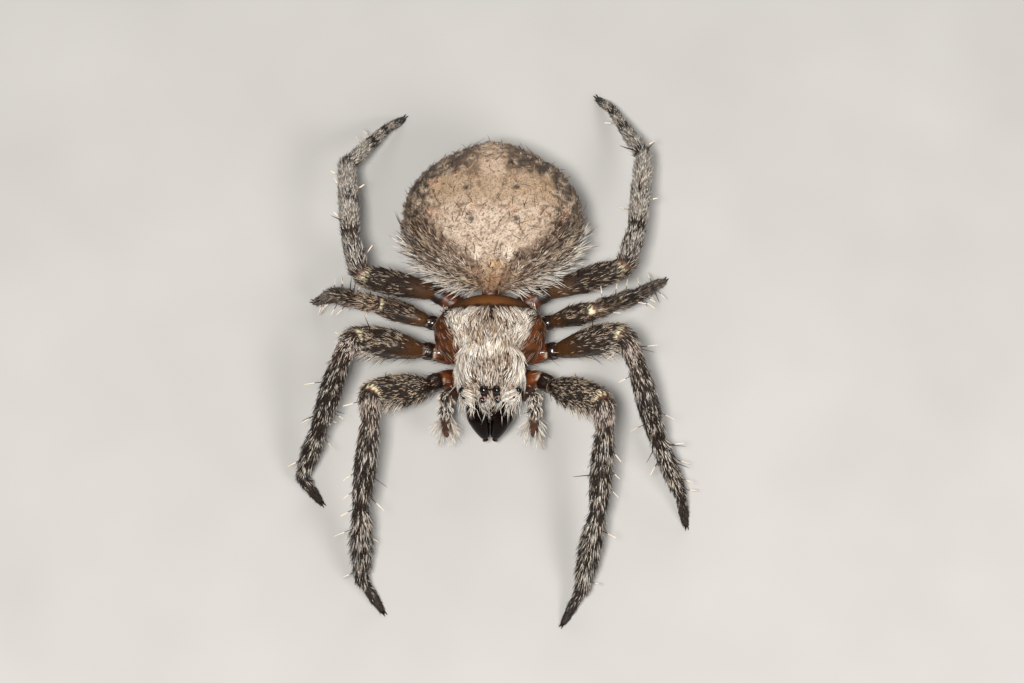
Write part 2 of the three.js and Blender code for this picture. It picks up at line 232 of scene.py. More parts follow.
def in_shield(points, form):
    """True for points inside a shield."""
    middle, reach = (form["front"] + form["rear"]) / 2, (form["rear"] - form["front"]) / 2
    s = np.clip((points[:, 1] - middle) / reach, -1, 1)
    shrink = np.maximum((1 - s * s) ** form["blunt"], 1e-6)
    rise = points[:, 2] - form["rim"]
    height = np.where(rise > 0, form["top"] - form["rim"], form["rim"] - form["bottom"])
    wide = np.abs(points[:, 0]) / (form["half_width"] * shrink)
    tall = np.abs(rise) / (height * shrink)
    return (wide ** form["boxy"] + tall ** form["boxy"] < 1) & (np.abs(s) < 1)


def eye_places():
    """The name, side, form and centre of every eye."""
    for name, form in EYES.items():
        for side in SIDES:
            yield name, side, form, mirrored(form["centre"], side)


def ellipsoid(centre, size):
    def surface(u, v):
        ring = np.sin(np.pi * u)
        ball = np.stack([np.cos(v) * ring, -np.cos(np.pi * u), np.sin(v) * ring], -1)
        return np.array(centre) + ball * np.array(size)

    return surface


SIGILLA = ((-1.1, 5.68), (1.22, 5.7), (-0.85, 4.15), (1.2, 4.18))  # X and Y of the pits


def abdomen(depth=0.0):
    """The abdomen, depth inside its solid, with low folds and the pits of its muscles."""
    form = ABDOMEN

    def surface(u, v):
        s = -np.cos(np.pi * u)
        round_off = np.sin(np.pi * u) ** 2
        taper = np.where(s > 0, form["point"], form["blunt"]) * s
        plan = round_off ** (0.5 + taper) * (1 - form["shoulder"] * s)
        profile = round_off ** (0.5 + np.minimum(taper, 0) / 2) * (1 - form["shoulder"] / 2 * s)
        lift = np.sin(v) * np.where(np.sin(v) < 0, 1 - form["flat_belly"], 1)
        half = (form["rear"] - form["front"]) / 2 - depth
        middle = (form["rear"] + form["front"]) / 2
        narrow = 0.3 * ramp(-s, 0.3, 0.85) if depth else 0  # room for the fringe in front
        x = form["aside"] + (form["half_width"] - depth - narrow) * np.cos(v) * plan
        y = middle + half * s
        z = form["height"] - form["droop"] * s + (form["half_height"] - depth) * lift * profile
        points = np.stack([x, y, z], -1)
        flat = points.reshape(-1, 3)
        rough = ramp(np.hypot((flat[:, 0] - 0.1) / 2.8, (flat[:, 1] - 4.7) / 2.3), 0.85, 1.15)
        folds = 0.028 * waves(flat, 1.7, 11) + (0.012 + 0.03 * rough) * waves(flat, 0.5, 12)
        for pit_x, pit_y in SIGILLA:
            away = np.hypot(flat[:, 0] - pit_x, flat[:, 1] - pit_y)
            folds -= 0.09 * fade(away, 0.05, 0.26) * (flat[:, 2] > form["height"])
        folds = np.minimum(folds, 0.06) - 0.02
        outward = unit(flat - np.array([0, middle, form["height"]]))
        return (flat + outward * folds[:, None]).reshape(points.shape)

    return surface


# ---- Limbs


def segment_radius(table, station):
    """Radius at each station of a limb, from its table of segments."""
    table = np.array(table)
    index = np.clip(station.astype(int), 0, len(table) - 1)
    share = np.clip(station - index, 0, 1)
    start, end, swell = table[index].T
    return start + (end - start) * share + swell * np.sin(np.pi * share)


def trims(joints, radii):
    """How far from each joint the limb starts to bend."""
    ways = unit(np.diff(joints, axis=0))
    found = [0.0]
    for before, after, radius in zip(ways, ways[1:], radii):
        half = math.acos(float(np.clip(before @ after, -1, 1))) / 2
        found.append(max(0.1, 1.12 * radius * math.tan(half)))
    return found + [0.0]


def centreline(joints, cut, step):
    """Stations and centres along a limb that bends from a cut before to a cut after each joint."""
    stations, centres = [], []
    for i in range(len(joints) - 1):
        here, joint = joints[i], joints[i + 1]
        length = np.linalg.norm(joint - here)
        first, last = cut[i], length - cut[i + 1]
        distance = np.linspace(first, last, max(2, int((last - first) / step) + 1))
        stations.extend(i + distance / length)
        centres.extend(here + np.outer(distance / length, joint - here))
        if i + 2 < len(joints):
            beyond, bend = joints[i + 2], cut[i + 1]
            following = np.linalg.norm(beyond - joint)
            start = joint + (here - joint) * bend / length
            end = joint + (beyond - joint) * bend / following
            t = np.linspace(0, 1, max(4, int(2 * bend / step)))[1:-1, None]
            centres.extend((1 - t) ** 2 * start + 2 * t * (1 - t) * joint + t * t * end)
            ends = [-bend / length, 0, bend / following]
            stations.extend(i + 1 + np.interp(t[:, 0], [0, 0.5, 1], ends))
    return np.array(stations), np.array(centres)


def carried_across(along):
    """A direction across the limb at each centre, carried along it without a twist."""
    across = []
    side = np.cross(along[0], UP)
    for way in along:
        side = unit(side - way * (side @ way))
        across.append(side)
    return np.array(across)


WAIST_REACH = 0.13  # how far the waist at a joint reaches along the limb, in millimetres
NO_JOINT = -9  # a station that no limb reaches, for one that has no joint between its ends


def limb(joints, table, girth=1.0, waist=0.1, tip=None, step=0.06):
    """Samples along a limb with rounded bends: station, centre, frame and radius of each. A tip
    is the length over which its end is rounded off."""
    joints = np.array(joints, float)
    table = np.array(table) * girth
    joint_radii = (table[:-1, 1] + table[1:, 0]) / 2
    stations, centres = centreline(joints, trims(joints, joint_radii * 1.2), step)
    along = unit(np.gradient(centres, axis=0))
    across = carried_across(along)
    inner = np.array([NO_JOINT, *range(1, len(joints) - 1)])
    lengths = np.linalg.norm(np.diff(joints, axis=0), axis=1)
    index = np.clip(stations.astype(int), 0, len(lengths) - 1)
    away = np.abs(stations[:, None] - inner).min(1) * lengths[index]
    radius = segment_radius(table, stations) * (1 - waist * np.exp(-((away / WAIST_REACH) ** 2)))
    run = np.concatenate([[0], np.cumsum(np.linalg.norm(np.diff(centres, axis=0), axis=1))])
    if tip:
        radius = radius * np.sqrt(np.clip((run[-1] - run) / tip, 0, 1) * 0.96 + 0.04)
    return {
        "u": run / run[-1], "length": run[-1], "station": stations, "centre": centres,
        "along": along, "across": across, "rise": np.cross(across, along), "radius": radius,
    }


def read_limb(path, name, u):
    """A quantity of a limb's samples at each u."""
    values = path[name]
    if values.ndim == 1:
        return np.interp(u, path["u"], values)
    return np.stack([np.interp(u, path["u"], column) for column in values.T], -1)


def limb_surface(path):
    def surface(u, v):
        centre, across, rise = (read_limb(path, n, u.ravel()) for n in ("centre", "across", "rise"))
        radius = read_limb(path, "radius", u.ravel())[:, None]
        angle = v.ravel()[:, None]
        points = centre + radius * (np.cos(angle) * across + np.sin(angle) * rise)
        return points.reshape(u.shape + (3,))

    return surface


def mirrored(places, side):
    """A place, or an array of places, given for the left side."""
    return np.array(places, float) * (MIRROR if side == "right" else 1)


def leg_joints(leg, side):
    joints = list(mirrored([leg["root"], leg["knuckle"], leg["hip"]], side))
    pose = leg[side]
    for i, length in enumerate(leg["lengths"]):
        last = joints[-1]
        is_tarsus = i == len(pose["climb"])
        rise = FLOOR_DIP - last[2] if is_tarsus else length * math.sin(math.radians(pose["climb"][i]))
        reach = math.sqrt(length * length - rise * rise)
        turn = math.radians(pose["heading"][i])
        step = (SIDES[side] * reach * math.cos(turn), -reach * math.sin(turn), rise)
        joints.append(last + step)
    return joints


def leg_limbs():
    """The limb of every leg, by its number and side."""
    limbs = {}
    for side in SIDES:
        for number, leg in enumerate(LEGS, 1):
            joints = leg_joints(leg, side)
            table = np.array(LEG_SKIN)
            table[:, 2] += FULLER.get(number, 0)
            limbs[number, side] = limb(joints, table, leg["girth"], tip=0.16)
    return limbs


def palp_limbs():
    return {side: limb(mirrored(PALP_JOINTS, side), PALP_SKIN, tip=0.2) for side in SIDES}


LEG_LIMBS = leg_limbs()
PALP_LIMBS = palp_limbs()

# ---- Meshes


def grid_mesh(surface, steps, around):
    """Vertices and faces of a closed surface, whose u ends are points or are capped."""
    u, v = np.linspace(0, 1, steps + 1), np.arange(around) / around * TURN
    rows, columns = np.meshgrid(u, v, indexing="ij")
    rings = surface(rows, columns).reshape(-1, 3)
    ends = surface(np.array([0.0, 1.0])[:, None] + np.zeros((1, around)), np.stack([v, v])).mean(1)
    vertices = np.concatenate([rings, ends])
    first, last = len(rings), len(rings) + 1
    faces = []
    for start in range(0, steps * around, around):
        for j in range(around):
            k, beyond = (j + 1) % around, start + around
            faces.append((start + j, beyond + j, beyond + k, start + k))
    end = steps * around
    for j in range(around):
        k = (j + 1) % around
        faces += [(first, j, k), (last, end + k, end + j)]
    return vertices, faces


def limb_mesh(path, steps, around):
    return grid_mesh(limb_surface(path), steps, around)


def ball_mesh(form, steps, around):
    return grid_mesh(ellipsoid(form["centre"], form["size"]), steps, around)


def linked(name, data):
    """A new object in the scene for a mesh, a light or a camera."""
    made = bpy.data.objects.new(name, data)
    bpy.context.scene.collection.objects.link(made)
    return made


def new_object(name, vertices, faces, scale=MM):
    mesh = bpy.data.meshes.new(name)
    mesh.from_pydata((np.asarray(vertices) * scale).tolist(), [], faces)
    mesh.update()
    return linked(name, mesh)


def joined(parts):
    """One list of vertices and faces from several."""
    vertices, faces, count = [], [], 0
    for points, corners in parts:
        vertices.append(points)
        faces.extend(tuple(c + count for c in face) for face in corners)
        count += len(points)
    return np.concatenate(vertices), faces


def one_surface(name, parts, voxel, rounds):
    """An object whose mesh is the outer surface of all the closed parts, joined and softened."""
    made = new_object(name, *joined(parts), scale=1.0)
    remesh = made.modifiers.new("Join", "REMESH")
    remesh.mode = "VOXEL"
    remesh.voxel_size = voxel
    soften = made.modifiers.new("Soften", "SMOOTH")
    soften.factor = 0.5
    soften.iterations = rounds
    bpy.context.view_layer.update()
    final = bpy.data.meshes.new_from_object(made.evaluated_get(bpy.context.evaluated_depsgraph_get()))
    made.modifiers.clear()
    made.data = final
    return made


def read_rows(items, name, kind=float):
    """Three numbers of each vertex or triangle of a mesh."""
    values = np.empty(len(items) * 3, kind)
    items.foreach_get(name, values)
    return values.reshape(-1, 3)


def write_points(mesh, points):
    """Moves the vertices of a mesh to points given in millimetres."""
    mesh.vertices.foreach_set("co", (points * MM).ravel())
    mesh.update()


def dress(made, material, slot, *replaced):
    """Gives an object its material and its place in the frame."""
    mesh = made.data
    mesh.polygons.foreach_set("use_smooth", np.ones(len(mesh.polygons), bool))
    mesh.materials.append(material)
    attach(made, "root")
    if replaced:
        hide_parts(*replaced)


def store(mesh, name, values, domain="POINT"):
    """Keeps a colour or a number for every vertex, for the materials to read."""
    if values.ndim == 1:
        mesh.attributes.new(name, "FLOAT", domain).data.foreach_set("value", values)
        return
    colours = np.concatenate([np.clip(values, 0, 1), np.ones((len(values), 1))], 1)
    mesh.attributes.new(name, "FLOAT_COLOR", domain).data.foreach_set("color", colours.ravel())


# ---- Markings, shared by the skin and the coat

CREAM = srgb(174, 155, 136)
TAN = srgb(156, 133, 109)
PALE = srgb(190, 175, 158)
GREY = srgb(108, 91, 76)
CHARCOAL = srgb(62, 50, 41)
UMBER = srgb(92, 73, 56)
RUST = srgb(152, 112, 80)
PINK = srgb(190, 148, 122)
BROWN = srgb(112, 80, 56)
GOLD = srgb(190, 150, 100)
ORANGE_CUTICLE = srgb(94, 47, 19)
RED_CUTICLE = srgb(64, 31, 15)
DARK_CUTICLE = srgb(28, 16, 11)
AMBER = srgb(68, 44, 24)
PALP_BROWN = srgb(66, 38, 20)
PALP_DARK = srgb(42, 24, 14)
MEMBRANE = srgb(186, 168, 148)
LEG_GROUND = srgb(36, 27, 21)
LEG_PALE = srgb(104, 86, 68)
KNEE_RED = srgb(100, 46, 32)
STRAW_AND_HIGHLIGHT = srgb(206, 196, 160)
LUMP_PALE_AND_LIT = srgb(176, 155, 134)
WRINKLE_SHADE = srgb(112, 88, 66)
CREASE_SHADE = srgb(104, 80, 58)
VASE_TINT = srgb(112, 90, 66)
STRIPE_TINT = srgb(178, 156, 134)
LOBE = srgb(164, 138, 108)
PIT = srgb(44, 36, 30)

MIDDLE = 0.12  # X of the middle line of the abdomen's marks
# Half the width of the pale field on the abdomen's back, against Y.
FIELD = ((1.7, 0.5), (2.2, 0.85), (2.7, 1.5), (3.3, 2.25), (4.0, 2.75), (5.0, 2.9), (5.8, 2.8),
         (6.3, 2.45), (6.7, 1.6), (7.0, 0.7), (9.2, 0.6))
# Y and width of the dark bands along the front corners of the field, against the distance from
# its middle line.
BAND_COURSE = ((0.5, 2.2), (1.0, 2.5), (1.6, 2.85), (2.3, 3.35), (3.0, 3.95), (3.7, 4.45))
BAND_WIDTH = ((0.5, 0.16), (1.5, 0.3), (2.5, 0.42), (3.7, 0.4))
VASE = ((4.9, 0.03), (5.2, 0.32), (5.7, 0.48), (6.1, 0.36), (6.6, 0.5))  # half its width, against Y
# Centres and reaches of the marks on the abdomen, with X measured from its middle line, on
# both sides of it.
REAR_SHADES = (((0.92, 6.65, 7.1), (0.5, 0.45, 1.0)), ((1.75, 6.95, 6.6), (0.4, 0.35, 0.9)),
               ((1.0, 7.6, 6.3), (0.42, 0.6, 0.9)))
REAR_RUST = (((0.8, 6.2, 7.3), (0.42, 0.16, 0.7)), ((0.62, 7.35, 6.75), (0.16, 0.3, 0.7)),
             ((0.85, 4.62, 7.6), (0.6, 0.16, 0.7)), ((2.3, 4.55, 7.0), (0.4, 0.2, 0.7)))
DARK_FLECKS = (((0.45, 4.7, 7.6), (0.3, 0.07, 0.7)), ((1.35, 4.78, 7.5), (0.3, 0.06, 0.7)),
               ((2.15, 4.3, 7.0), (0.08, 0.35, 0.9)), ((2.5, 4.9, 6.8), (0.3, 0.08, 0.9)),
               ((0.5, 3.5, 7.4), (0.07, 0.3, 0.7)), ((1.2, 3.45, 7.2), (0.28, 0.08, 0.7)),
               ((1.9, 3.9, 7.1), (0.25, 0.09, 0.7)), ((0.6, 5.9, 7.5), (0.06, 0.4, 0.7)))
REAR_LOBES = (((2.35, 6.0, 6.7), (0.55, 0.6, 1.2)),)
BELLY_COMMAS = (((1.25, 5.0, 1.8), (0.4, 1.3, 1.2)),)
FRONT_CREAM = ((0.72, 2.66, 6.95), (0.26, 0.4, 0.7))
FRONT_GOLD = (((0.25, 2.25, 6.45), (0.35, 0.2, 0.4)),)  # from here on, X is the true one
SHOULDER_PINK = (((-2.85, 4.6, 6.9), 0.4), ((2.9, 2.85, 6.3), 0.4), ((3.3, 3.2, 6.2), 0.34),
                 ((3.45, 4.7, 6.4), 0.35), ((-2.5, 6.2, 6.6), 0.35), ((2.85, 2.3, 5.6), 0.45))
SHOULDER_TAN = (((-3.05, 3.55, 6.3), 0.42), ((-3.5, 4.2, 6.0), 0.3), ((3.1, 3.8, 6.6), 0.22))


def abdomen_bands(points):
    """How strongly the dark bands along the front corners of the field show at each point."""
    x, y, z = points.T
    apart = np.abs(x - MIDDLE)
    away = (y - from_table(BAND_COURSE, apart)) / from_table(BAND_WIDTH, apart)
    band = np.exp(-(away**2)) * ramp(apart, 0.35, 0.8)
    return band * fade(apart, 3.7, 4.1) * ramp(z, 4.8, 5.6)


def vase_line(points):
    """The thin outline, shaped like a vase, in the middle of the field."""
    x, y, z = points.T
    away = np.abs(np.abs(x - MIDDLE) - from_table(VASE, y))
    return fade(away, 0.02, 0.1) * ramp(y, 4.8, 5.0) * fade(y, 6.4, 6.8) * (z > 5)


def shaggy(points):
    """1 on the shoulders and the front beside the pale field, where the hair is longest."""
    x, y, z = points.T
    outside = ramp(np.abs(x - MIDDLE) - from_table(FIELD, y), -0.1, 0.3)
    return outside * fade(y, 3.9, 5.0) * ramp(z, 3.6, 4.6)


class Marks:
    """The colour, and the share of dark hairs, at each point. Marks are laid over one another."""

    def __init__(self, colour, dark):
        self.colour, self.dark = colour, dark

    def lay(self, share, tint, strength, dark=None):
        """Lays a mark with its tint and, if given, its share of dark hairs."""
        self.colour = blend(self.colour, tint, strength * share)
        if dark is not None:
            self.dark = blend(self.dark, dark, share)

    def lay_spots(self, points, spots, rough, *look):
        """Lays round or oval marks. Rough is 1 where they show in full."""
        for centre, size in spots:
            self.lay(spot(points, centre, size) * rough, *look)


def side_colour(relief, grain):
    """The flanks: grey, pale on the lumps of the skin's relief and dark in its hollows. This is partly their
    own mottling and partly painted light and painted shade.
    """
    colour = blend(GREY, LUMP_PALE_AND_LIT, ramp(relief - 0.3 * grain, 0.2, 1.1))
    return blend(colour, CHARCOAL, ramp(0.3 * grain - relief, 0.0, 1.0))


def back_colour(points, grain, fine):
    """The pale field: cream in front and tan behind, with thin dark lines of painted shade for wrinkles and
    creases.
    """
    colour = blend(CREAM, TAN, ramp(points[:, 1] + 0.15 * grain, 4.4, 5.4))
    colour = blend(colour, TAN * 0.8, 0.5 * ramp(grain + 0.7 * fine, 0.4, 1.6))
    # These dark lines are painted shade, not grooves in the mesh.
    wrinkle_shade = fade(np.abs(waves(points, 1.1, 25)), 0.0, 0.16)
    colour = blend(colour, WRINKLE_SHADE, 0.7 * wrinkle_shade * ramp(fine, -1.0, 0.4))
    crease_shade = fade(np.abs(waves(points * (0.6, 1.6, 1), 0.8, 27)), 0.0, 0.14)
    return blend(colour, CREASE_SHADE, 0.6 * crease_shade * ramp(grain, -0.6, 0.6))


def mark_field(marks, points, grain, fine):
    """The vase line, the dark bands, the stripe and the spots of the pale field."""
    mirror = folded(points, MIDDLE)
    apart, y, _ = mirror.T
    marks.lay(vase_line(points) * ramp(0.9 + 0.5 * fine, 0, 0.8), VASE_TINT, 0.7)
    bands = abdomen_bands(points) * ramp(0.75 + 0.6 * fine, 0, 0.7)
    marks.lay(bands, 0.5 * (CHARCOAL + BROWN), 0.85, 0.9)
    stripe = fade(apart + 0.05 * grain, 0.45, 0.62) * ramp(y, 5.9, 6.6)
    beside = (1 - stripe) * ramp(0.8 + 0.5 * fine, 0, 0.8)
    marks.lay_spots(mirror, REAR_SHADES, beside, UMBER * 1.15, 0.8, 0.46)
    marks.lay_spots(mirror, REAR_RUST, ramp(0.8 + 0.7 * fine, 0, 1), RUST, 0.45)
    marks.lay_spots(mirror, DARK_FLECKS, ramp(0.7 + 0.8 * fine, 0, 0.9), UMBER * 0.8, 0.8, 0.6)
    marks.lay(stripe, STRIPE_TINT, 0.85, 0.08)
    marks.lay_spots(mirror, REAR_LOBES, 1, LOBE, 0.7)


def mark_front(marks, points, fine):
    """The streaked front edge, with two cream patches and a rusty middle."""
    x, y, z = points.T
    mirror = folded(points, MIDDLE)
    streaks = waves(np.stack([7 * np.arctan2(x, z - 3), 0 * x, 0 * x], -1), 0.75, 23)
    edge = fade(y + 0.2 * mirror[:, 0], 2.2, 2.75)
    marks.lay(edge, blend(TAN * 1.15, BROWN, ramp(streaks, -0.3, 1.0)), 0.85, 0.55)
    marks.dark = blend(marks.dark, 0.4, 0.8 * shaggy(points))
    marks.lay(ramp(spot(mirror, *FRONT_CREAM) + 0.1 * fine, 0.3, 0.6), PALE * 1.05, 0.9, 0.05)
    low = fade(np.hypot(x - MIDDLE, (z - 5.2) / 2.0), 0.12, 0.6) * (y < 2.6)
    marks.lay(low, RUST, 0.75, 0.2)
    marks.lay_spots(points, FRONT_GOLD, 1, GOLD, 0.7)


def abdomen_marks(points):
    """The abdomen's ground colour, and the share of its hairs that are dark."""
    x, y, z = points.T
    apart = np.abs(x - MIDDLE)
    # The third noise is the one that also raises the lumps and hollows of the abdomen's skin.
    grain, fine, relief = waves(points, 0.75, 21), waves(points, 0.3, 22), waves(points, 0.5, 12)
    inside = from_table(FIELD, y) - apart + 0.2 * grain + 0.2 * fine
    field = ramp(inside, -0.2, 0.25) * ramp(z + 0.25 * grain, 5.0, 6.2)
    speckled = ramp(y, 2.1, 2.6) * (1 - 0.75 * ramp(y, 4.4, 5.4))
    # On the flanks more of the hairs are dark in the hollows of the relief, partly as painted shade.
    marks = Marks(
        blend(side_colour(relief, grain), back_colour(points, grain, fine), field),
        blend(0.34 - 0.3 * relief, 0.1 + 0.24 * speckled + 0.08 * grain, field),
    )
    stipple = ramp(waves(points, 0.17, 24), 0.55, 1.2)
    dots = stipple * field * ramp(y, 2.1, 2.6) * (1 - 0.7 * ramp(y, 4.5, 5.2))
    dots = dots * (0.75 + 0.25 * (apart < 0.55))
    marks.lay(dots, UMBER * 0.8, 0.85)
    marks.dark = blend(marks.dark, 0.7, 0.6 * dots)
    mark_field(marks, points, grain, fine)
    mark_front(marks, points, fine)
    rough = ramp(0.7 + 0.8 * fine, 0, 1)
    marks.lay_spots(points, SHOULDER_PINK, rough, PINK, 0.8, 0.2)
    marks.lay_spots(points, SHOULDER_TAN, rough, TAN, 0.8, 0.2)
    for pit_x, pit_y in SIGILLA:
        marks.lay(fade(np.hypot(x - pit_x, y - pit_y), 0.09, 0.17) * (z > 5), PIT, 0.9, 0.97)
    marks.lay(fade(z, 2.6, 3.6), blend(UMBER, CHARCOAL, ramp(grain, -0.5, 0.8)), 1)
    marks.lay_spots(folded(points, MIDDLE), BELLY_COMMAS, 1, CREAM, 0.8)
    return marks.colour, np.clip(marks.dark, 0.02, 0.97)


# Dark rings on a leg: station, half width in stations and strength.
FORE_RINGS = ((3.1, 0.1, 0.75), (3.9, 0.12, 0.75), (4.22, 0.06, 0.5), (4.5, 0.09, 0.65),
              (4.72, 0.05, 0.5), (4.98, 0.09, 0.85), (5.3, 0.06, 0.5), (5.55, 0.08, 0.6),
              (5.98, 0.08, 0.85), (6.7, 0.6, 0.97))
THIRD_RINGS = ((3.95, 0.12, 0.4), (4.5, 0.1, 0.3), (5.0, 0.1, 0.45), (5.6, 0.12, 0.4),
               (6.0, 0.08, 0.5), (6.85, 0.25, 0.85))
HIND_RINGS = ((3.05, 0.07, 0.6), (3.98, 0.08, 0.85), (4.46, 0.04, 0.5), (5.0, 0.045, 0.95),
              (5.56, 0.08, 0.85), (5.9, 0.08, 0.85), (6.75, 0.3, 0.95))
RINGS = {1: FORE_RINGS, 2: FORE_RINGS, 3: THIRD_RINGS, 4: HIND_RINGS}
# Share of dark hairs on the femur, the patella and the rest of each pair of legs.
DARK_SHARE = {1: (0.73, 0.44, 0.64), 2: (0.79, 0.5, 0.68), 3: (0.76, 0.54, 0.54), 4: (0.92, 0.42, 0.1)}
BARE_TO = {1: 2.06, 2: 2.34, 3: 2.24, 4: 2.36}  # station at which the hair of the femur starts


def leg_dark(number, station, points):
    """The share of a leg's hairs that are dark at each place."""
    femur, patella, shin = DARK_SHARE[number]
    foot = shin - (0.1 if number < 3 else 0.0)
    steps = (femur, patella, patella, shin, shin, foot)
    share = np.interp(station, (2.95, 3.05, 3.95, 4.05, 4.9, 5.2), steps)
    share = share - (0.17 if number == 4 else 0.04) * ramp(station, 2.65, 2.9) * (station < 3)
    share = share + (0.04 + 0.12 * share) * waves(points, 0.55, 31)
    for middle, reach, strength in RINGS[number]:
        ring = np.exp(-(((station - middle) / reach) ** 2))
        share = share * (1 - ring * strength) + ring * strength
    return np.clip(share, 0.05, 0.97)


def bare_to(number, normal):
    """Station at which the hair of the femur starts. It starts later on the front of a femur."""
    front = ramp(-normal[:, 1], 0.3, 0.75) * fade(-normal[:, 2], 0.25, 0.6)
    return BARE_TO[number] + (0.36 if number in (2, 3) else 0.0) * front


def knee_band(number, station, normal, middle=2.975, reach=0.026):
    """How far each place is in the bare pale band on top of the end of the femur, whose paleness is partly a
    painted highlight.
    """
    reach = reach * (1.9 if number == 3 else 1.0)
    return np.exp(-(((station - middle) / reach) ** 4)) * ramp(normal[:, 2], 0.45, 0.75)


def leg_ground(number, station, points, normal):
    """Colour and gloss of a leg's skin."""
    colour = blend(LEG_GROUND, LEG_PALE, ramp(0.5 - leg_dark(number, station, points), 0, 0.5))
    coxa = blend(RED_CUTICLE, ORANGE_CUTICLE, ramp(waves(points, 0.6, 32), -1, 1))
    hip = blend(coxa, DARK_CUTICLE, ramp(station, 0.95, 1.15))
    base = blend(DARK_CUTICLE, AMBER, ramp(station, 2.0, 2.1))
    base = blend(base, LEG_GROUND, ramp(station, 2.15, BARE_TO[number] + 0.25))
    if number == 1:
        base = blend(DARK_CUTICLE, LEG_GROUND, ramp(station, 2.0, 2.4))
    colour = np.where((station < 2.0)[:, None], hip, np.where((station < 2.6)[:, None], base, colour))
    patchy = ramp(waves(points, 0.45, 33), -0.1, 0.7) * (number < 4)
    for joint, reach in ((1.02, 0.05), (2.0, 0.03)):
        colour = blend(colour, MEMBRANE, 0.75 * patchy * np.exp(-(((station - joint) / reach) ** 2)))
    for joint, tint in ((3.03, BROWN), (4, AMBER), (5, AMBER), (6, AMBER)):
        colour = blend(colour, tint, 0.6 * np.exp(-(((station - joint) / 0.04) ** 2)))
    # The straw band on top of the knee is partly its own pale colour and partly a painted highlight.
    band = knee_band(number, station, normal)
    colour = blend(colour, STRAW_AND_HIGHLIGHT, (0.75 if number == 4 else 0.95) * band)
    colour = blend(colour, KNEE_RED, 0.8 * knee_band(number, station, normal, 3.03, 0.022))
    gloss = np.maximum(1 - 0.75 * ramp(station, 2.1, bare_to(number, normal) + 0.25), 0.4 * band)
    return colour, gloss * (0.5 if number == 4 else 1.0)


# ---- The skin


def spinneret_limbs():
    """Four short cones round the middle of the cluster, leaning back and outward."""
    form = SPINNERET
    found = []
    for i in range(4):
        turn = (i + 0.5) * math.pi / 2
        out = np.array([math.cos(turn), math.sin(turn), 0])
        start = np.array(form["centre"]) + out * form["spread"]
        way = unit(np.array([0, form["back"], -1]) + out * form["splay"])
        radius = form["radius"] * 0.95
        table = ((radius, radius / 2.2, radius / 6),)
        found.append(limb((start - way * 0.1, start + way * form["length"]), table, tip=0.1))
    return found


def skin_parts():
    """The closed forms that the skin is joined from, each with what it is called."""
    parts = [("abdomen", grid_mesh(abdomen(ABDOMEN_COAT), 110, 150))]
    parts.append(("sternum", grid_mesh(shield(shrunk(STERNUM, BARE_COAT)), 24, 40)))
    waist_radius = PEDICEL["radius"] - BARE_COAT
    waist = limb(PEDICEL["joints"], ((waist_radius, waist_radius, 0),))
    parts.append(("pedicel", limb_mesh(waist, 20, 20)))
    for path in spinneret_limbs():
        parts.append(("spinnerets", limb_mesh(path, 18, 16)))
    cushion = ellipsoid(SPINNERET["centre"], SPINNERET["cushion"])
    parts.append(("spinnerets", grid_mesh(cushion, 16, 20)))
    parts.append(("mouth", ball_mesh(LABIUM, 12, 16)))
    for side in SIDES:
        maxilla = {**MAXILLA, "centre": mirrored(MAXILLA["centre"], side)}
        parts.append(("mouth", ball_mesh(maxilla, 16, 20)))
        parts.append((("palp", side), limb_mesh(PALP_LIMBS[side], PALP_STEPS, PALP_RING)))
    for key, path in LEG_LIMBS.items():
        parts.append((key, limb_mesh(path, int(path["length"] / LEG_STEP), LEG_RING)))
    return parts


def nearest_part(points, parts):
    """For each point, the number of the nearest part and the place of its nearest vertex."""
    owners = np.concatenate([np.full(len(mesh[0]), i) for i, (_, mesh) in enumerate(parts)])
    vertices = np.concatenate([mesh[0] for _, mesh in parts])
    tree = KDTree(len(vertices))
    for i, vertex in enumerate(vertices):
        tree.insert(vertex, i)
    tree.balance()
    found = np.array([tree.find(point)[1] for point in points])
    starts = np.concatenate([[0], np.cumsum([len(mesh[0]) for _, mesh in parts])])
    return owners[found], found - starts[owners[found]]


def limb_station(path, place, around, steps):
    """Station of a limb's grid vertex, from its place in the list."""
    row = np.minimum(place // around, steps)
    return np.interp(row / steps, path["u"], path["station"])


def skin_colours(points, normals, parts):
    """Colour and gloss of the skin at each of its points."""
    owner, place = nearest_part(points, parts)
    colour = np.zeros((len(points), 3))
    gloss = np.full(len(points), 0.15)
    for i, (key, _) in enumerate(parts):
        mine = owner == i
        if not mine.any():
            continue
        here = points[mine]
        if key == "abdomen":
            colour[mine] = abdomen_marks(here)[0]
        elif key == "sternum":
            colour[mine] = blend(DARK_CUTICLE, UMBER, ramp(waves(here, 0.8, 41), 0.2, 1.5))
            gloss[mine] = 0.5
        elif key in ("pedicel", "spinnerets"):
            colour[mine] = blend(RED_CUTICLE, ORANGE_CUTICLE, 0.4)
            gloss[mine] = 0.6
        elif key == "mouth":
            colour[mine] = DARK_CUTICLE
            gloss[mine] = 0.8
        elif key[0] == "palp":
            station = limb_station(PALP_LIMBS[key[1]], place[mine], PALP_RING, PALP_STEPS)
            colour[mine] = blend(PALP_BROWN, PALP_DARK, ramp(waves(here, 0.4, 42), -1, 1))
            gloss[mine] = 0.3 + 0.4 * ramp(station, 3.9, 4.1)
        else:
            path = LEG_LIMBS[key]
            station = limb_station(path, place[mine], LEG_RING, int(path["length"] / LEG_STEP))
            colour[mine], gloss[mine] = leg_ground(key[0], station, here, normals[mine])
    return colour, gloss


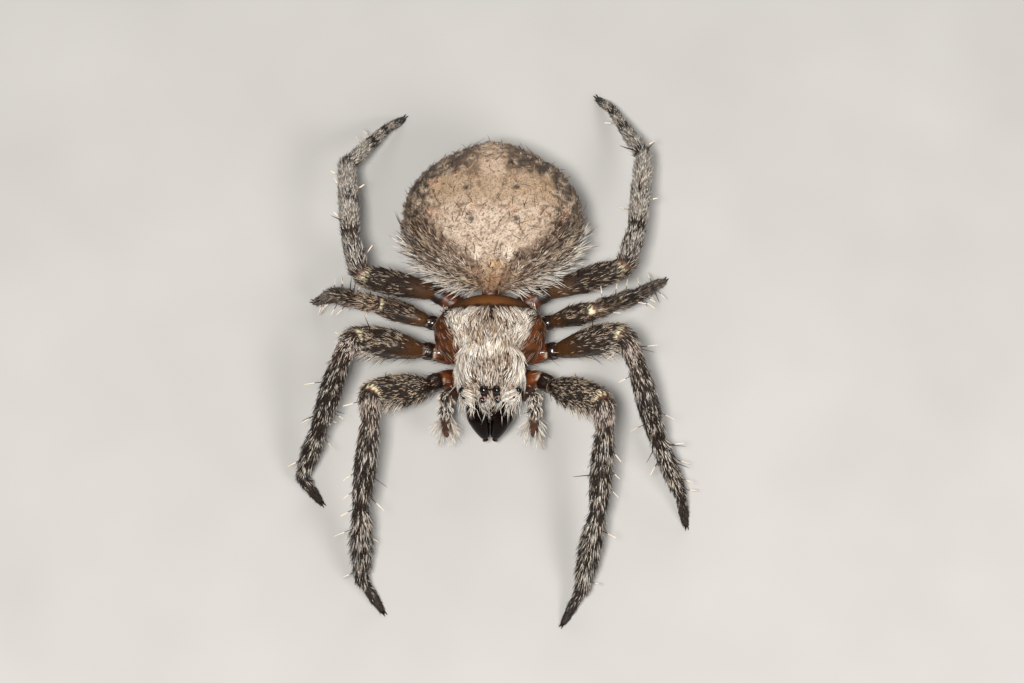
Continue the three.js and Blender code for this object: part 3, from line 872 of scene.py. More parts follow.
def build_skin():
    parts = skin_parts()
    skin = one_surface("skin", [mesh for _, mesh in parts], SKIN_VOXEL, 2)
    points = read_rows(skin.data.vertices, "co")
    points[:, 2] = np.maximum(points[:, 2], 0)
    colour, gloss = skin_colours(points, read_rows(skin.data.vertices, "normal"), parts)
    write_points(skin.data, points)
    store(skin.data, "tint", colour)
    store(skin.data, "gloss", gloss)
    covered = ["sternum", "pedicel", "abdomen", "spinnerets", "mouthparts"]
    for side in SIDES:
        covered += [f"palp_upper_{side}", f"palp_lower_{side}"]
        for number in range(1, 5):
            covered += [f"leg_{number}_{part}_{side}" for part in ("base", "femur", "shin", "foot")]
    dress(skin, skin_material(), "brown_cuticle", *covered)


# ---- The shell of head and thorax

HAIR_REAR = 1.22  # Y behind which the shell is bare
# X beyond which it is nearly bare, against Y: the flanks between head and legs are bare.
HAIR_SIDE = ((-3.6, 2.0), (-2.2, 1.9), (-1.6, 1.6), (-1.1, 1.42), (-0.65, 1.44), (-0.1, 1.85),
             (0.5, 2.1), (1.2, 2.25))
FLANK_LIGHT, FLANK_DARK = srgb(80, 43, 20), srgb(46, 27, 16)
REAR_BROWN, REAR_ORANGE = srgb(72, 46, 26), srgb(112, 72, 40)
UNDER_HAIR, BROW, EYE_RING_AND_SHADE = srgb(40, 29, 21), srgb(170, 152, 136), srgb(10, 6, 5)


def brows(points):
    """1 between the side eyes and the middle ones, where short pale hair covers the shell."""
    return spot(folded(points), (1.0, -2.85, 4.4), (0.42, 0.4, 0.6))


def shell_colours(points):
    """The shell is dark under its hair and a glossy orange brown where it is bare."""
    x, y, z = points.T
    grain = waves(points, 0.5, 51)
    side = from_table(HAIR_SIDE, y)
    bare = np.maximum(ramp(y + 0.05 * grain, HAIR_REAR - 0.25, HAIR_REAR + 0.08),
                      ramp(np.abs(x) + 0.05 * grain, side - 0.25, side + 0.1))
    bare = np.maximum(bare, fade(z, 2.9, 3.5))
    rim = blend(FLANK_LIGHT, FLANK_DARK, ramp(grain, -0.8, 1.4))
    middle = fade(np.abs(x), 0.2, 1.6)
    rim = blend(rim, blend(REAR_BROWN, REAR_ORANGE, middle), ramp(y, 0.9, 1.3))
    rim = blend(rim, DARK_CUTICLE, 0.6 * fade(z, 2.5, 3.1))
    colour = blend(UNDER_HAIR, rim, bare)
    matt = brows(points)
    colour = blend(colour, BROW, 0.85 * matt * ramp(waves(points, 0.12, 52), -1.2, 0.4))
    # Each eye sits in a near-black patch. It is partly the dark ring round a spider's eye and partly painted
    # shade round it.
    for name, _, form, centre in eye_places():
        reach = form["radius"] * (1.3 if "median" in name else 1.0)
        near = spot(points, centre + (0, -0.1, -0.05), (reach, 1.3 * reach, 1.15 * reach))
        colour = blend(colour, EYE_RING_AND_SHADE, 0.97 * near)
        matt = np.maximum(matt, near)
    return colour, (0.2 + 0.35 * bare) * (1 - 0.8 * matt)


def build_shell():
    head, thorax = shrunk(HEAD, HEAD_COAT), shrunk(THORAX, THORAX_COAT)
    bridge = shrunk(BRIDGE, THORAX_COAT)
    parts = [grid_mesh(shield(form), 60, 90) for form in (head, thorax, bridge)]
    mound = ellipsoid(EYE_MOUND["centre"], np.array(EYE_MOUND["size"]) - MOUND_COAT)
    parts.append(grid_mesh(mound, 20, 30))
    for side in SIDES:
        centre = mirrored(SIDE_MOUND["centre"], side)
        parts.append(grid_mesh(ellipsoid(centre, np.array(SIDE_MOUND["size"]) - SIDE_MOUND_COAT), 16, 20))
    shell = one_surface("carapace_shell", parts, SHELL_VOXEL, 9)
    points = read_rows(shell.data.vertices, "co")
    x, y, z = points.T
    groove = np.exp(-((x / 0.1) ** 2) - ((y - 0.35) / 0.45) ** 2)  # the pit in the thorax's back
    points[:, 2] -= 0.14 * groove * (z > 3.6)
    colour, gloss = shell_colours(points)
    write_points(shell.data, points)
    store(shell.data, "tint", colour)
    store(shell.data, "gloss", gloss)
    dress(shell, skin_material("shell_cuticle", 0.16), "brown_cuticle", "carapace")
    shell.data.calc_loop_triangles()
    return points, read_rows(shell.data.loop_triangles, "vertices", np.int32)


# ---- Materials


class Graph:
    """The nodes of a material whose colours come from a vertex attribute."""

    def __init__(self, name):
        self.material = bpy.data.materials.new(name)
        self.material.use_nodes = True
        self.tree = self.material.node_tree
        self.shader = self.tree.nodes["Principled BSDF"]

    def feed(self, socket, value):
        """Sets a socket to a number or a colour, or links it to the output of a node."""
        if isinstance(value, bpy.types.NodeSocket):
            self.tree.links.new(value, socket)
        else:
            socket.default_value = (*value, 1) if isinstance(value, tuple) else value

    def put(self, name, value):
        self.feed(self.shader.inputs[name], value)

    def add(self, kind, inputs, output, **settings):
        """Adds a node, feeds its inputs and gives one of its outputs."""
        node = self.tree.nodes.new(kind)
        for name, value in settings.items():
            setattr(node, name, value)
        for key, value in inputs.items():
            self.feed(node.inputs[key], value)
        return node.outputs[output]

    def attribute(self, name, output):
        return self.add("ShaderNodeAttribute", {}, output, attribute_name=name)

    def texture(self, kind, output, size, **inputs):
        """A texture whose grains or cells are about size millimetres across."""
        place = self.add("ShaderNodeTexCoord", {}, "Object")
        return self.add(kind, {"Vector": place, "Scale": 1 / (size * MM), **inputs}, output)

    def noise(self, size, detail=3.0):
        return self.texture("ShaderNodeTexNoise", "Fac", size, Detail=detail, Roughness=0.6)

    def map(self, value, low, high, to_low, to_high):
        inputs = {"Value": value, "From Min": low, "From Max": high, "To Min": to_low, "To Max": to_high}
        return self.add("ShaderNodeMapRange", inputs, "Result")

    def maths(self, operation, first, second):
        return self.add("ShaderNodeMath", {0: first, 1: second}, "Value", operation=operation)

    def mix(self, share, first, second, way="MIX"):
        """Two colours mixed by a share."""
        inputs = {0: share, 6: first, 7: second}
        return self.add("ShaderNodeMix", inputs, 2, data_type="RGBA", blend_type=way)

    def bump(self, height, strength, distance):
        inputs = {"Height": height, "Strength": strength, "Distance": distance * MM}
        self.put("Normal", self.add("ShaderNodeBump", inputs, "Normal"))


def skin_material(name="cuticle", specular=0.5):
    """Cuticle whose colour and gloss are stored on the mesh, with fine dark freckles."""
    graph = Graph(name)
    gloss = graph.attribute("gloss", "Fac")
    grain = graph.noise(0.09, 4.0)
    freckles = graph.map(graph.noise(0.07, 2.0), 0.5, 0.62, 0.0, 1.0)
    matt = graph.map(gloss, 0.1, 0.5, 0.75, 0.0)
    dark = graph.mix(graph.maths("MULTIPLY", freckles, matt), (1, 1, 1), (0.3, 0.24, 0.2))
    shade = graph.mix(0.35, graph.attribute("tint", "Color"), grain, "OVERLAY")
    graph.put("Base Color", graph.mix(1.0, shade, dark, "MULTIPLY"))
    rough = graph.map(gloss, 0, 1, 0.7, 0.2)
    graph.put("Roughness", graph.maths("ADD", rough, graph.map(grain, 0.3, 0.7, -0.05, 0.08)))
    cells = graph.texture("ShaderNodeTexVoronoi", "Distance", 0.12)
    graph.bump(graph.maths("ADD", grain, cells), 0.35, 0.02)
    graph.put("Specular IOR Level", specular)
    return graph.material


def hair_material(name, roughness=0.5):
    """Hair coloured along its length by its own mesh, with faint streaks."""
    graph = Graph(name)
    streak = graph.map(graph.noise(0.15, 2.0), 0.3, 0.7, 0.8, 1.12)
    tint = graph.attribute("tint", "Color")
    colour = graph.add("ShaderNodeVectorMath", {0: tint, "Scale": streak}, "Vector", operation="SCALE")
    graph.put("Base Color", colour)
    graph.put("Roughness", roughness)
    graph.put("Specular IOR Level", 0.35)
    return graph.material


def gloss_material(name, dark, light, size, roughness):
    """Hard dark cuticle, mottled between two colours."""
    graph = Graph(name)
    cloud = graph.map(graph.noise(size, 3.0), 0.42, 0.66, 0.0, 1.0)
    graph.put("Base Color", graph.mix(cloud, tuple(dark), tuple(light)))
    fine = graph.noise(0.05, 3.0)
    graph.put("Roughness", graph.map(fine, 0.3, 0.7, roughness, roughness + 0.08))
    graph.bump(fine, 0.04, 0.01)
    graph.put("Specular IOR Level", 0.07)
    return graph.material


# ---- Hairs

PATCH = 0.003  # how wide a hair's patch is on the map
SINK = 0.03  # how deep a hair's root sits in the skin, in millimetres
LOWEST = 0.004  # how near the floor hairs and claws may come
# Share of the length and of the width at each ring of a hair, before its tip.
SHORT_HAIR = ((0.0, 0.6), (0.4, 1.0))
LONG_HAIR = ((0.0, 0.55), (0.3, 1.0), (0.68, 0.8))


def measure(surface, u, v):
    """Points, outward normals and size of the surface per unit of u and v."""
    step = 1e-4
    point = surface(u, v)
    by_u = (surface(np.minimum(u + step, 1), v) - surface(np.maximum(u - step, 0), v)) / (2 * step)
    by_v = (surface(u, v + step) - surface(u, v - step)) / (2 * step)
    normal = np.cross(by_u, by_v)
    area = np.linalg.norm(normal, axis=-1)
    return point, unit(normal), area


def scatter(surface, count, rng, weight=None, cells=(180, 90)):
    """Random places on a surface, even by area unless weighted. Returns u, v, points, normals."""
    u = (np.arange(cells[0]) + 0.5) / cells[0]
    v = (np.arange(cells[1]) + 0.5) / cells[1] * TURN - math.pi
    u, v = (grid.ravel() for grid in np.meshgrid(u, v, indexing="ij"))
    point, normal, area = measure(surface, u, v)
    share = area * (weight(u, point, normal) if weight else 1)
    pick = rng.choice(len(share), count, p=share / share.sum())
    u = np.clip(u[pick] + (rng.random(count) - 0.5) / cells[0], 1e-3, 1 - 1e-3)
    v = v[pick] + (rng.random(count) - 0.5) * TURN / cells[1]
    point, normal, _ = measure(surface, u, v)
    return u, v, point, normal


def scatter_mesh(points, triangles, count, rng, weight):
    """Random places on a mesh, even by area times weight. Returns points and smooth normals."""
    corners = points[triangles]
    cross = np.cross(corners[:, 1] - corners[:, 0], corners[:, 2] - corners[:, 0])
    smooth = np.zeros_like(points)
    for corner in range(3):
        np.add.at(smooth, triangles[:, corner], cross)
    smooth = unit(smooth)
    middle = corners.mean(1)
    share = np.linalg.norm(cross, axis=1) * weight(middle, unit(cross))
    pick = rng.choice(len(share), count, p=share / share.sum())
    mix = rng.dirichlet((1, 1, 1), count)[:, :, None]
    return (corners[pick] * mix).sum(1), unit((smooth[triangles[pick]] * mix).sum(1))


def combed(way, normal, turn):
    """The lie of each hair: a direction laid on the surface and turned there by an angle."""
    way = np.broadcast_to(way, normal.shape)
    flat = unit(way - normal * np.sum(way * normal, -1, keepdims=True))
    side = np.cross(normal, flat)
    return np.cos(turn)[:, None] * flat + np.sin(turn)[:, None] * side


class Coat:
    """Hairs collected for one piece, all with the same profile."""

    FIELDS = ("root", "normal", "lie", "length", "width", "lift", "bow", "sway", "base", "tip", "place")

    def __init__(self, name, slot, material, profile=SHORT_HAIR, sides=3, flat=0.65, turn=None):
        self.name, self.slot, self.material = name, slot, material
        self.profile, self.sides, self.flat = profile, sides, flat
        self.turn = turn  # share of the length at which the colour changes at once, if it does
        self.rows = {field: [] for field in self.FIELDS}

    def add(self, **values):
        count = len(values["root"])
        for field in self.FIELDS:
            value = np.asarray(values[field], float)
            if field in ("base", "tip") and value.ndim == 1:
                value = np.broadcast_to(value, (count, 3))
            elif value.ndim == 0:
                value = np.full(count, float(value))
            self.rows[field].append(value)

    def shape(self, rows):
        """Vertices and vertex colours of all the hairs, in order."""
        normal, lie, length = rows["normal"], rows["lie"], rows["length"][:, None]
        side = np.cross(normal, lie)
        forward = np.cos(rows["lift"])[:, None] * lie + np.sin(rows["lift"])[:, None] * normal
        upward = np.cos(rows["lift"])[:, None] * normal - np.sin(rows["lift"])[:, None] * lie
        turns = (np.arange(self.sides) + 0.25) / self.sides * TURN
        points, colours = [], []
        for share, wide in (*self.profile, (1.0, 0.0)):
            centre = rows["root"] - SINK * normal + length * (
                share * forward + share**2 * (rows["bow"][:, None] * normal + rows["sway"][:, None] * side)
            )
            # Colour runs from the base at the root to the tip. Most coats give a darker base, which is
            # painted shade deep among the hairs.
            pale = share if self.turn is None else float(share > self.turn)
            colour = blend(rows["base"], rows["tip"], np.full(len(centre), pale))
            if wide == 0:
                points.append(centre[:, None])
                colours.append(colour[:, None])
                continue
            half = rows["width"][:, None] * wide / 2
            ring = [
                centre + half * (math.cos(a) * side + self.flat * math.sin(a) * upward) for a in turns
            ]
            points.append(np.stack(ring, 1))
            colours.append(np.repeat(colour[:, None], self.sides, 1))
        return np.concatenate(points, 1), np.concatenate(colours, 1)

    def pattern(self):
        """Faces of one hair and where their corners lie on its patch, from 0 to 1."""
        n, rings = self.sides, len(self.profile)
        shares = [share for share, _ in self.profile] + [1.0]
        faces, corners = [], []
        for r in range(rings):
            low, high, here, there = shares[r], shares[r + 1], r * n, (r + 1) * n
            for j in range(n):
                k, left, right = (j + 1) % n, j / n, (j + 1) / n
                if r + 1 == rings:
                    faces.append((here + j, here + k, there))
                    corners.append(((left, low), (right, low), ((left + right) / 2, high)))
                    continue
                faces += [(here + j, here + k, there + k), (here + j, there + k, there + j)]
                corners.append(((left, low), (right, low), (right, high)))
                corners.append(((left, low), (right, high), (left, high)))
        for j in range(1, n - 1):
            faces.append((0, j + 1, j))
            corners.append(((0, 0), (0.2, 0.02), (0.1, 0.05)))
        return np.array(faces), np.array(corners)

    def build(self):
        rows = {field: np.concatenate(values) for field, values in self.rows.items()}
        points, colours = self.shape(rows)
        points[..., 2] = np.maximum(points[..., 2], LOWEST)
        faces, corners = self.pattern()
        count, size = points.shape[:2]
        shift = (np.arange(count) * size)[:, None, None]
        every_face = (faces[None] + shift).reshape(-1)
        place = np.clip(rows["place"], 0, 1 - PATCH)
        every_corner = (place[:, None, None] + corners[None] * PATCH).reshape(-1)
        mesh = bpy.data.meshes.new(self.name)
        mesh.vertices.add(count * size)
        mesh.loops.add(len(every_face))
        mesh.polygons.add(len(every_face) // 3)
        mesh.vertices.foreach_set("co", (points * MM).ravel())
        mesh.loops.foreach_set("vertex_index", every_face)
        mesh.polygons.foreach_set("loop_start", np.arange(0, len(every_face), 3))
        mesh.update(calc_edges=True)
        store(mesh, "tint", colours.reshape(-1, 3))
        mesh.uv_layers.new(name="OFBake").data.foreach_set("uv", every_corner)
        dress(linked(self.name, mesh), self.material, self.slot)
        print(f"{self.name}: {count} hairs, {len(mesh.polygons)} faces")


def shades(rng, colour, count, spread=0.12, warmth=0.05):
    """A colour for each hair, a little lighter or darker and warmer or cooler than the last."""
    light = 1 + spread * rng.normal(size=(count, 1))
    warm = warmth * rng.normal(size=(count, 1))
    return np.clip(np.broadcast_to(colour, (count, 3)) * light * (1 + warm * np.array([1, 0, -1])), 0.002, 1)


CLEARANCE = {"rear_median": 1.02, "front_median": 0.42, "rear_side": 0.8, "front_side": 0.75}


def bell(rng, count, spread):
    """A number for each hair, spread about 0."""
    return spread * rng.normal(size=count)


def clear_of_eyes(roots, tips):
    """True for hairs that neither stand on an eye nor pass over one."""
    clear = np.ones(len(roots), bool)
    for share in (0.0, 0.35, 0.7, 1.0):  # places along the hair
        along = roots * (1 - share) + tips * share
        for name, _, form, centre in eye_places():
            clear &= np.linalg.norm(along - centre, axis=1) > form["radius"] * CLEARANCE[name]
    return clear


# ---- The coat of head and thorax

HAIR_WHITE = srgb(240, 229, 216)
HAIR_CREAM = srgb(214, 197, 176)
HAIR_TAN = srgb(174, 152, 130)
HAIR_GREY = srgb(160, 142, 124)
HAIR_BROWN = srgb(74, 52, 38)
HAIR_BLACK = srgb(36, 26, 19)
HAIR_PINK = srgb(160, 116, 92)
HAIR_UMBER = srgb(92, 76, 62)
HAIR_ORANGE = srgb(110, 66, 34)
BRIGHTEST = srgb(250, 226, 204)
BRISTLE_BROWN, BRISTLE_GOLD = srgb(66, 46, 30), srgb(196, 160, 112)
HEAD_HAIRS = (("pale", 7600), ("dark", 2600))
BEARD_HAIRS = 240
CREASE = np.array([0.0, -0.8, 4.1])  # the dip between thorax and head


def head_way(points):
    """Which way the hair of head and thorax points: forward, inward on the flanks and temples,
    and outward at the rear."""
    x, y, _ = points.T
    side = np.sign(x)
    inward = ramp(np.abs(x), 1.0, 2.2) * ramp(y, -2.2, -0.6)
    outward = 0.5 * ramp(y, 0.3, 1.2) * fade(np.abs(x), 1.4, 2.2)
    temple = 0.25 * ramp(-y, 1.2, 2.4) * ramp(np.abs(x), 0.3, 1.2)
    temple = temple + 0.75 * ramp(-y, 1.5, 2.8) * ramp(np.abs(x), 0.5, 1.2)
    face = ramp(-y, 2.7, 3.4)
    sideways = side * (outward - 0.12 - 0.95 * inward - temple)
    return unit(np.stack([sideways, -np.ones(len(x)), -0.3 * face], -1))


def shell_places(point):
    """Where a hair of the shell lies on its map, unrolled round the long axis."""
    turn = np.arctan2(point[:, 2] - THORAX["rim"], point[:, 0])
    run = (point[:, 1] - HEAD["front"]) / (THORAX["rear"] - HEAD["front"])
    return np.stack([run, (turn + math.pi) / TURN], -1)


def shell_scatter(shell, count, rng, pale):
    """Places on the shell's top and sides for pale or dark hair. The bare margin has few of
    them, and the dark ones are thickest in two rows behind the eyes."""
    def weight(point, normal):
        x, y, z = point.T
        head = fade(y, -2.2, -1.2)
        upper = ramp(z, 3.3 - 0.5 * head, 3.55 - 0.4 * head)
        behind = fade(y, HAIR_REAR - 0.05, HAIR_REAR + 0.02)
        side = from_table(HAIR_SIDE, y)
        margin = 1 - (0.9 if pale else 0.97) * ramp(np.abs(x), side - 0.15, side + 0.15)
        chin = (0.9 - 0.3 * ramp(np.abs(x), 0.4, 0.8)) * fade(z, 4.1, 4.35)
        margin = margin * (1 - chin * ramp(-y, 3.05, 3.3) * pale)
        rows = spot(folded(point), (0.9, -2.05, 4.8), (0.22, 0.5, 0.8))
        crease = spot(point, CREASE, (1.7, 0.6, 0.9))
        between = spot(point, (0, -3.35, 4.5), (0.5, 0.3, 0.4))
        share = 1 + 0.6 * crease + 0.5 * ramp(-y, 2.4, 2.8) - 0.2 * between + 1.2 * brows(point)
        if not pale:
            crown = fade(np.abs(x), 0.7, 1.2) * ramp(-y, 0.8, 1.5)
            share = (0.6 + 6.0 * rows + 0.7 * crown) * (1 - 0.95 * crease)
        return upper * behind * margin * share

    return scatter_mesh(*shell, count, rng, weight)


def add_head_hairs(coat, point, normal, lie, **values):
    """Adds hairs that leave the eyes free. A hair that would reach one is made shorter."""
    along = np.cos(values["lift"])[:, None] * lie + np.sin(values["lift"])[:, None] * normal
    keep = np.zeros(len(point), bool)
    length = np.array(values["length"])
    for share in (1.0, 0.75, 0.55, 0.38, 0.25):  # of the full length
        clear = clear_of_eyes(point, point + along * (share * length)[:, None]) & ~keep
        values["length"] = np.where(clear, share * length, values["length"])
        keep |= clear
    values = {name: np.asarray(value)[keep] for name, value in values.items()}
    coat.add(root=point[keep], normal=normal[keep], lie=lie[keep], place=shell_places(point[keep]), **values)


def build_head_coat(shell):
    rng = np.random.default_rng(101)
    material = hair_material("head_hair", 0.42)
    for name, total in HEAD_HAIRS:
        coat = Coat(f"carapace_coat_{name}", "carapace_coat", material, LONG_HAIR)
        point, normal = shell_scatter(shell, total, rng, name == "pale")
        count = len(point)
        x, y, z = point.T
        face = ramp(-y, 2.9, 3.4) * fade(z, 4.3, 4.7)
        eyes = spot(point, (0, -3.25, 4.4), (0.6, 0.5, 0.6))
        crown = fade(np.abs(x), 0.7, 1.3) * ramp(z, 4.2, 4.6)
        temple = ramp(-y, 1.5, 2.4) * ramp(np.abs(x), 0.8, 1.25)
        cheek = ramp(-y, 1.2, 2.0) * ramp(np.abs(x), 0.9, 1.3)
        crease = spot(point, CREASE, (1.7, 0.7, 0.9))
        flank = ramp(np.abs(x), 0.7, 1.2) * ramp(-y, 0.8, 1.5)
        hind = ramp(y, HAIR_REAR - 0.4, HAIR_REAR)
        sparse = ramp(np.abs(x), from_table(HAIR_SIDE, y) - 0.05, from_table(HAIR_SIDE, y) + 0.1)
        if name == "pale":
            middle = crown + 0.5 * ramp(y, -0.9, -0.3) - face
            tan = ramp(0.5 * waves(point, 0.9, 61) + rng.normal(size=count) + 1.2 * middle, 0.4, 2.3)
            colour = shades(rng, blend(HAIR_WHITE, HAIR_TAN, tan), count, 0.16)
            colour = colour * (1 + 0.16 * waves(point, 0.3, 63) + 0.12 * flank)[:, None]
            colour = blend(colour, HAIR_PINK, 0.8 * sparse)
        else:
            colour = shades(rng, HAIR_BROWN, count, 0.3)
        add_head_hairs(
            coat, point, normal,
            combed(head_way(point), normal, 0.13 * waves(point, 0.7, 62) + bell(rng, count, 0.05)),
            length=rng.uniform(0.65, 1.1, count) * (1 - 0.5 * eyes) * (1 - 0.35 * crown)
            * (1 + 0.25 * flank) * (1 - 0.4 * temple) * (1 - 0.4 * sparse),
            width=rng.uniform(0.035, 0.047, count) * (1 - 0.2 * eyes) * (1 - 0.1 * crown)
            * (1 - 0.35 * sparse),
            lift=np.radians((rng.uniform(5, 16, count) + 10 * face - 3 * crown) * (1 - 0.85 * temple)
                            * (1 - 0.45 * flank) + 12 * crease),
            bow=rng.uniform(-0.12, 0.03, count) - 0.42 * temple - 0.1 * cheek,
            sway=0.08 * waves(point, 0.6, 64) + bell(rng, count, 0.04) - 0.3 * np.sign(x) * temple,
            # Roots darker than tips are painted shade among the hairs: less in the crease and at the rear,
            # more on the face.
            base=colour * (0.38 + 0.15 * crown + 0.45 * crease - 0.18 * face + 0.3 * hind)[:, None],
            tip=colour * (1.1 if name == "pale" else 1.0),
        )
        if name == "pale":
            add_beard(coat, shell, rng)
        coat.build()


def add_beard(coat, shell, rng):
    """The long white hairs that hang from below the eyes over the jaws."""
    def weight(point, normal):
        x, _, z = point.T
        level = ramp(z, 3.35, 3.6) * fade(z, 4.1, 4.35)
        wide = (np.abs(x) < 1.3) * (0.55 + 0.9 * ramp(np.abs(x), 0.3, 0.9))
        return ramp(-normal[:, 1], 0.2, 0.6) * level * wide

    point, normal = scatter_mesh(*shell, BEARD_HAIRS, rng, weight)
    count = len(point)
    way = np.stack([-0.3 * point[:, 0], np.full(count, -0.35), np.full(count, -1.0)], -1)
    colour = shades(rng, HAIR_WHITE, count)
    add_head_hairs(
        coat, point, normal, combed(way, normal, bell(rng, count, 0.2)),
        length=rng.uniform(0.95, 1.5, count), width=rng.uniform(0.036, 0.048, count),
        lift=np.radians(rng.uniform(20, 44, count)), bow=rng.uniform(-0.25, -0.05, count),
        # The roots are much darker than the tips, as painted shade among the hairs.
        sway=bell(rng, count, 0.13), base=colour * 0.22, tip=colour,
    )


# ---- The coat of the abdomen

DOWN_HAIRS = 33000
FRINGE_HAIRS = (("pale", 1500), ("dark", 1000))
BRISTLES = ((130, True), (330, False))  # on the pale field, and elsewhere
WAIST = np.array([0.1, 1.6, 4.4])  # the hair of the abdomen points away from here


def abdomen_way(points):
    """Away from the middle of the front edge, sideways along its rim and backward on the top."""
    return unit(unit(points - WAIST) + np.array([0, 0.3, 0.0]))


def abdomen_scatter(count, rng, weight=None):
    u, v, point, normal = scatter(abdomen(ABDOMEN_COAT), count, rng, weight, (120, 120))
    place = np.stack([u, (v + math.pi) / TURN], -1)
    return point, normal, place


def on_field(points):
    """1 on the pale field of the back, whose hair is short and close like velvet."""
    x, y, z = points.T
    inside = np.maximum(from_table(FIELD, y), 1.6 * ramp(y, 5.5, 6.5)) - np.abs(x - MIDDLE)
    return ramp(inside, -0.4, 0.2) * ramp(z, 5.2, 6.2) * ramp(y, 2.2, 2.8)


def build_abdomen_down():
    """Short hair that lies nearly flat, pale and dark in the shares that the markings give."""
    rng = np.random.default_rng(201)
    material = hair_material("abdomen_hair", 0.55)
    point, normal, place = abdomen_scatter(
        DOWN_HAIRS, rng, lambda u, p, n: (0.45 + 0.55 * ramp(p[:, 2], 2.6, 3.6)) * (1 + 0.25 * on_field(p))
        * (1 - 0.5 * shaggy(p))
    )
    ground, dark_share = abdomen_marks(point)
    is_dark = rng.random(len(point)) < dark_share
    velvet = on_field(point)
    left = point[:, 0] > MIDDLE
    groups = (("dark", is_dark), ("pale_left", ~is_dark & left), ("pale_right", ~is_dark & ~left))
    for name, mine in groups:
        coat = Coat(f"abdomen_coat_{name}", "abdomen_coat", material)
        count = int(mine.sum())
        smooth = velvet[mine]
        shag = shaggy(point[mine])
        if name == "dark":
            brown = 0.3 + 0.7 * rng.random(count) + 0.4 * shag
            mixed = blend(HAIR_BLACK, HAIR_BROWN, brown)
            mixed = blend(mixed, HAIR_UMBER, 0.6 * ramp(point[mine][:, 1], 4.6, 5.6))
            colour = shades(rng, mixed, count, 0.3)
        else:
            mixed = blend(ground[mine] * 0.8 + HAIR_CREAM * 0.2, ground[mine], smooth)
            bright = 1 + shag * (0.3 + 1.6 * ramp(rng.normal(size=count), -0.3, 0.9))
            mixed = np.minimum(mixed * bright[:, None], BRIGHTEST)
            colour = shades(rng, mixed, count, 0.16)
        coat.add(
            root=point[mine], normal=normal[mine], place=place[mine],
            lie=combed(abdomen_way(point[mine]), normal[mine],
                       (0.4 + 0.6 * smooth - 0.22 * shag) * rng.normal(size=count)),
            length=rng.uniform(0.8, 1.25, count) * (0.2 - 0.05 * smooth + 0.32 * shag),
            width=rng.uniform(0.8, 1.2, count) * (0.043 + 0.006 * shag),
            lift=np.radians(rng.uniform(5, 20, count) * (1.1 - 0.7 * smooth)),
            bow=rng.uniform(-0.1, 0.05, count), sway=bell(rng, count, 0.15),
            # Roots darker than tips are painted shade among the hairs, deepest in the shaggy hair and least
            # on the velvet.
            base=colour * (0.55 + 0.35 * smooth - 0.28 * shag)[:, None], tip=colour,
        )
        coat.build()


def build_abdomen_fringe():
    """Long hair on the steep front, pointing away from the waist."""
    rng = np.random.default_rng(202)
    material = hair_material("fringe_hair", 0.42)

    def on_front(u, point, normal):
        reach = np.maximum(np.abs(point[:, 0] - MIDDLE) - 0.5, 0)
        front = fade(point[:, 1] - 0.62 * reach, 1.95, 2.6)
        rim = np.exp(-(((point[:, 2] - 4.2) / 0.7) ** 2)) * fade(point[:, 1], 3.2, 4.4)
        return front * ramp(point[:, 2], 2.8, 3.6) * (0.32 + 0.9 * rim)

    for name, total in FRINGE_HAIRS:
        coat = Coat(f"abdomen_fringe_{name}", "abdomen_coat", material, LONG_HAIR)
        point, normal, place = abdomen_scatter(total, rng, on_front)
        count = len(point)
        x, _, z = point.T
        middle = fade(np.abs(x - MIDDLE), 0.2, 0.8)
        rim = fade(z, 4.6, 5.6) * ramp(np.abs(x), 0.2, 1.0)
        band = abdomen_bands(point)
        keep = rng.random(count) < (1 - 0.75 * band if name == "pale" else 0.4 + 0.6 * band)
        if name == "pale":
            warm = blend(HAIR_WHITE, HAIR_TAN, ramp(rng.normal(size=count), 0.0, 1.6))
            colour = blend(HAIR_WHITE, 0.5 * warm + 0.5 * abdomen_marks(point)[0], 1 - rim)
            colour = shades(rng, blend(colour, RUST, 0.6 * middle), count)
        else:
            colour = shades(rng, blend(HAIR_BLACK, HAIR_ORANGE, 0.5 * middle + 0.25), count, 0.3)
        values = {
            "root": point, "normal": normal, "place": place,
            "lie": combed(abdomen_way(point), normal, bell(rng, count, 0.15)),
            "length": rng.uniform(0.35, 0.65, count) + rim * rng.uniform(0.2, 0.85, count),
            "width": rng.uniform(0.038, 0.046, count) + 0.016 * rim,
            "lift": np.radians(rng.uniform(5, 14, count) + rim * rng.uniform(0, 24, count)),
            "bow": rng.uniform(-0.18, 0.0, count), "sway": bell(rng, count, 0.12),
            # Roots darker than tips are painted shade among the hairs.
            "base": colour * 0.35, "tip": colour * (1 + 0.12 * rim[:, None]),
        }
        coat.add(**{field: value[keep] for field, value in values.items()})
        coat.build()


def build_bristles():
    """Thin bristles scattered over the abdomen, mostly dark, standing off a little."""
    rng = np.random.default_rng(203)
    coat = Coat("abdomen_bristles", "abdomen_coat", hair_material("bristle_hair", 0.4), LONG_HAIR)
    for total, top in BRISTLES:
        point, normal, place = abdomen_scatter(
            total, rng, lambda u, p, n: on_field(p) if top else ramp(p[:, 2], 3.4, 5.0) * (1 - on_field(p))
        )
        count = len(point)
        golden = (rng.random(count) < 0.14) * 1.0
        colour = shades(rng, blend(BRISTLE_BROWN, BRISTLE_GOLD, golden), count, 0.25)
        coat.add(
            root=point, normal=normal, place=place,
            lie=combed(abdomen_way(point), normal, (1.3 if top else 0.6) * rng.normal(size=count)),
            length=rng.uniform(0.45, 0.85, count), width=rng.uniform(0.027, 0.036, count),
            lift=np.radians(rng.uniform(6, 22, count)), bow=-0.14, sway=bell(rng, count, 0.12),
            # Slightly darker roots are painted shade.
            base=colour * 0.85, tip=colour,
        )
    coat.build()


# ---- The coat of the legs

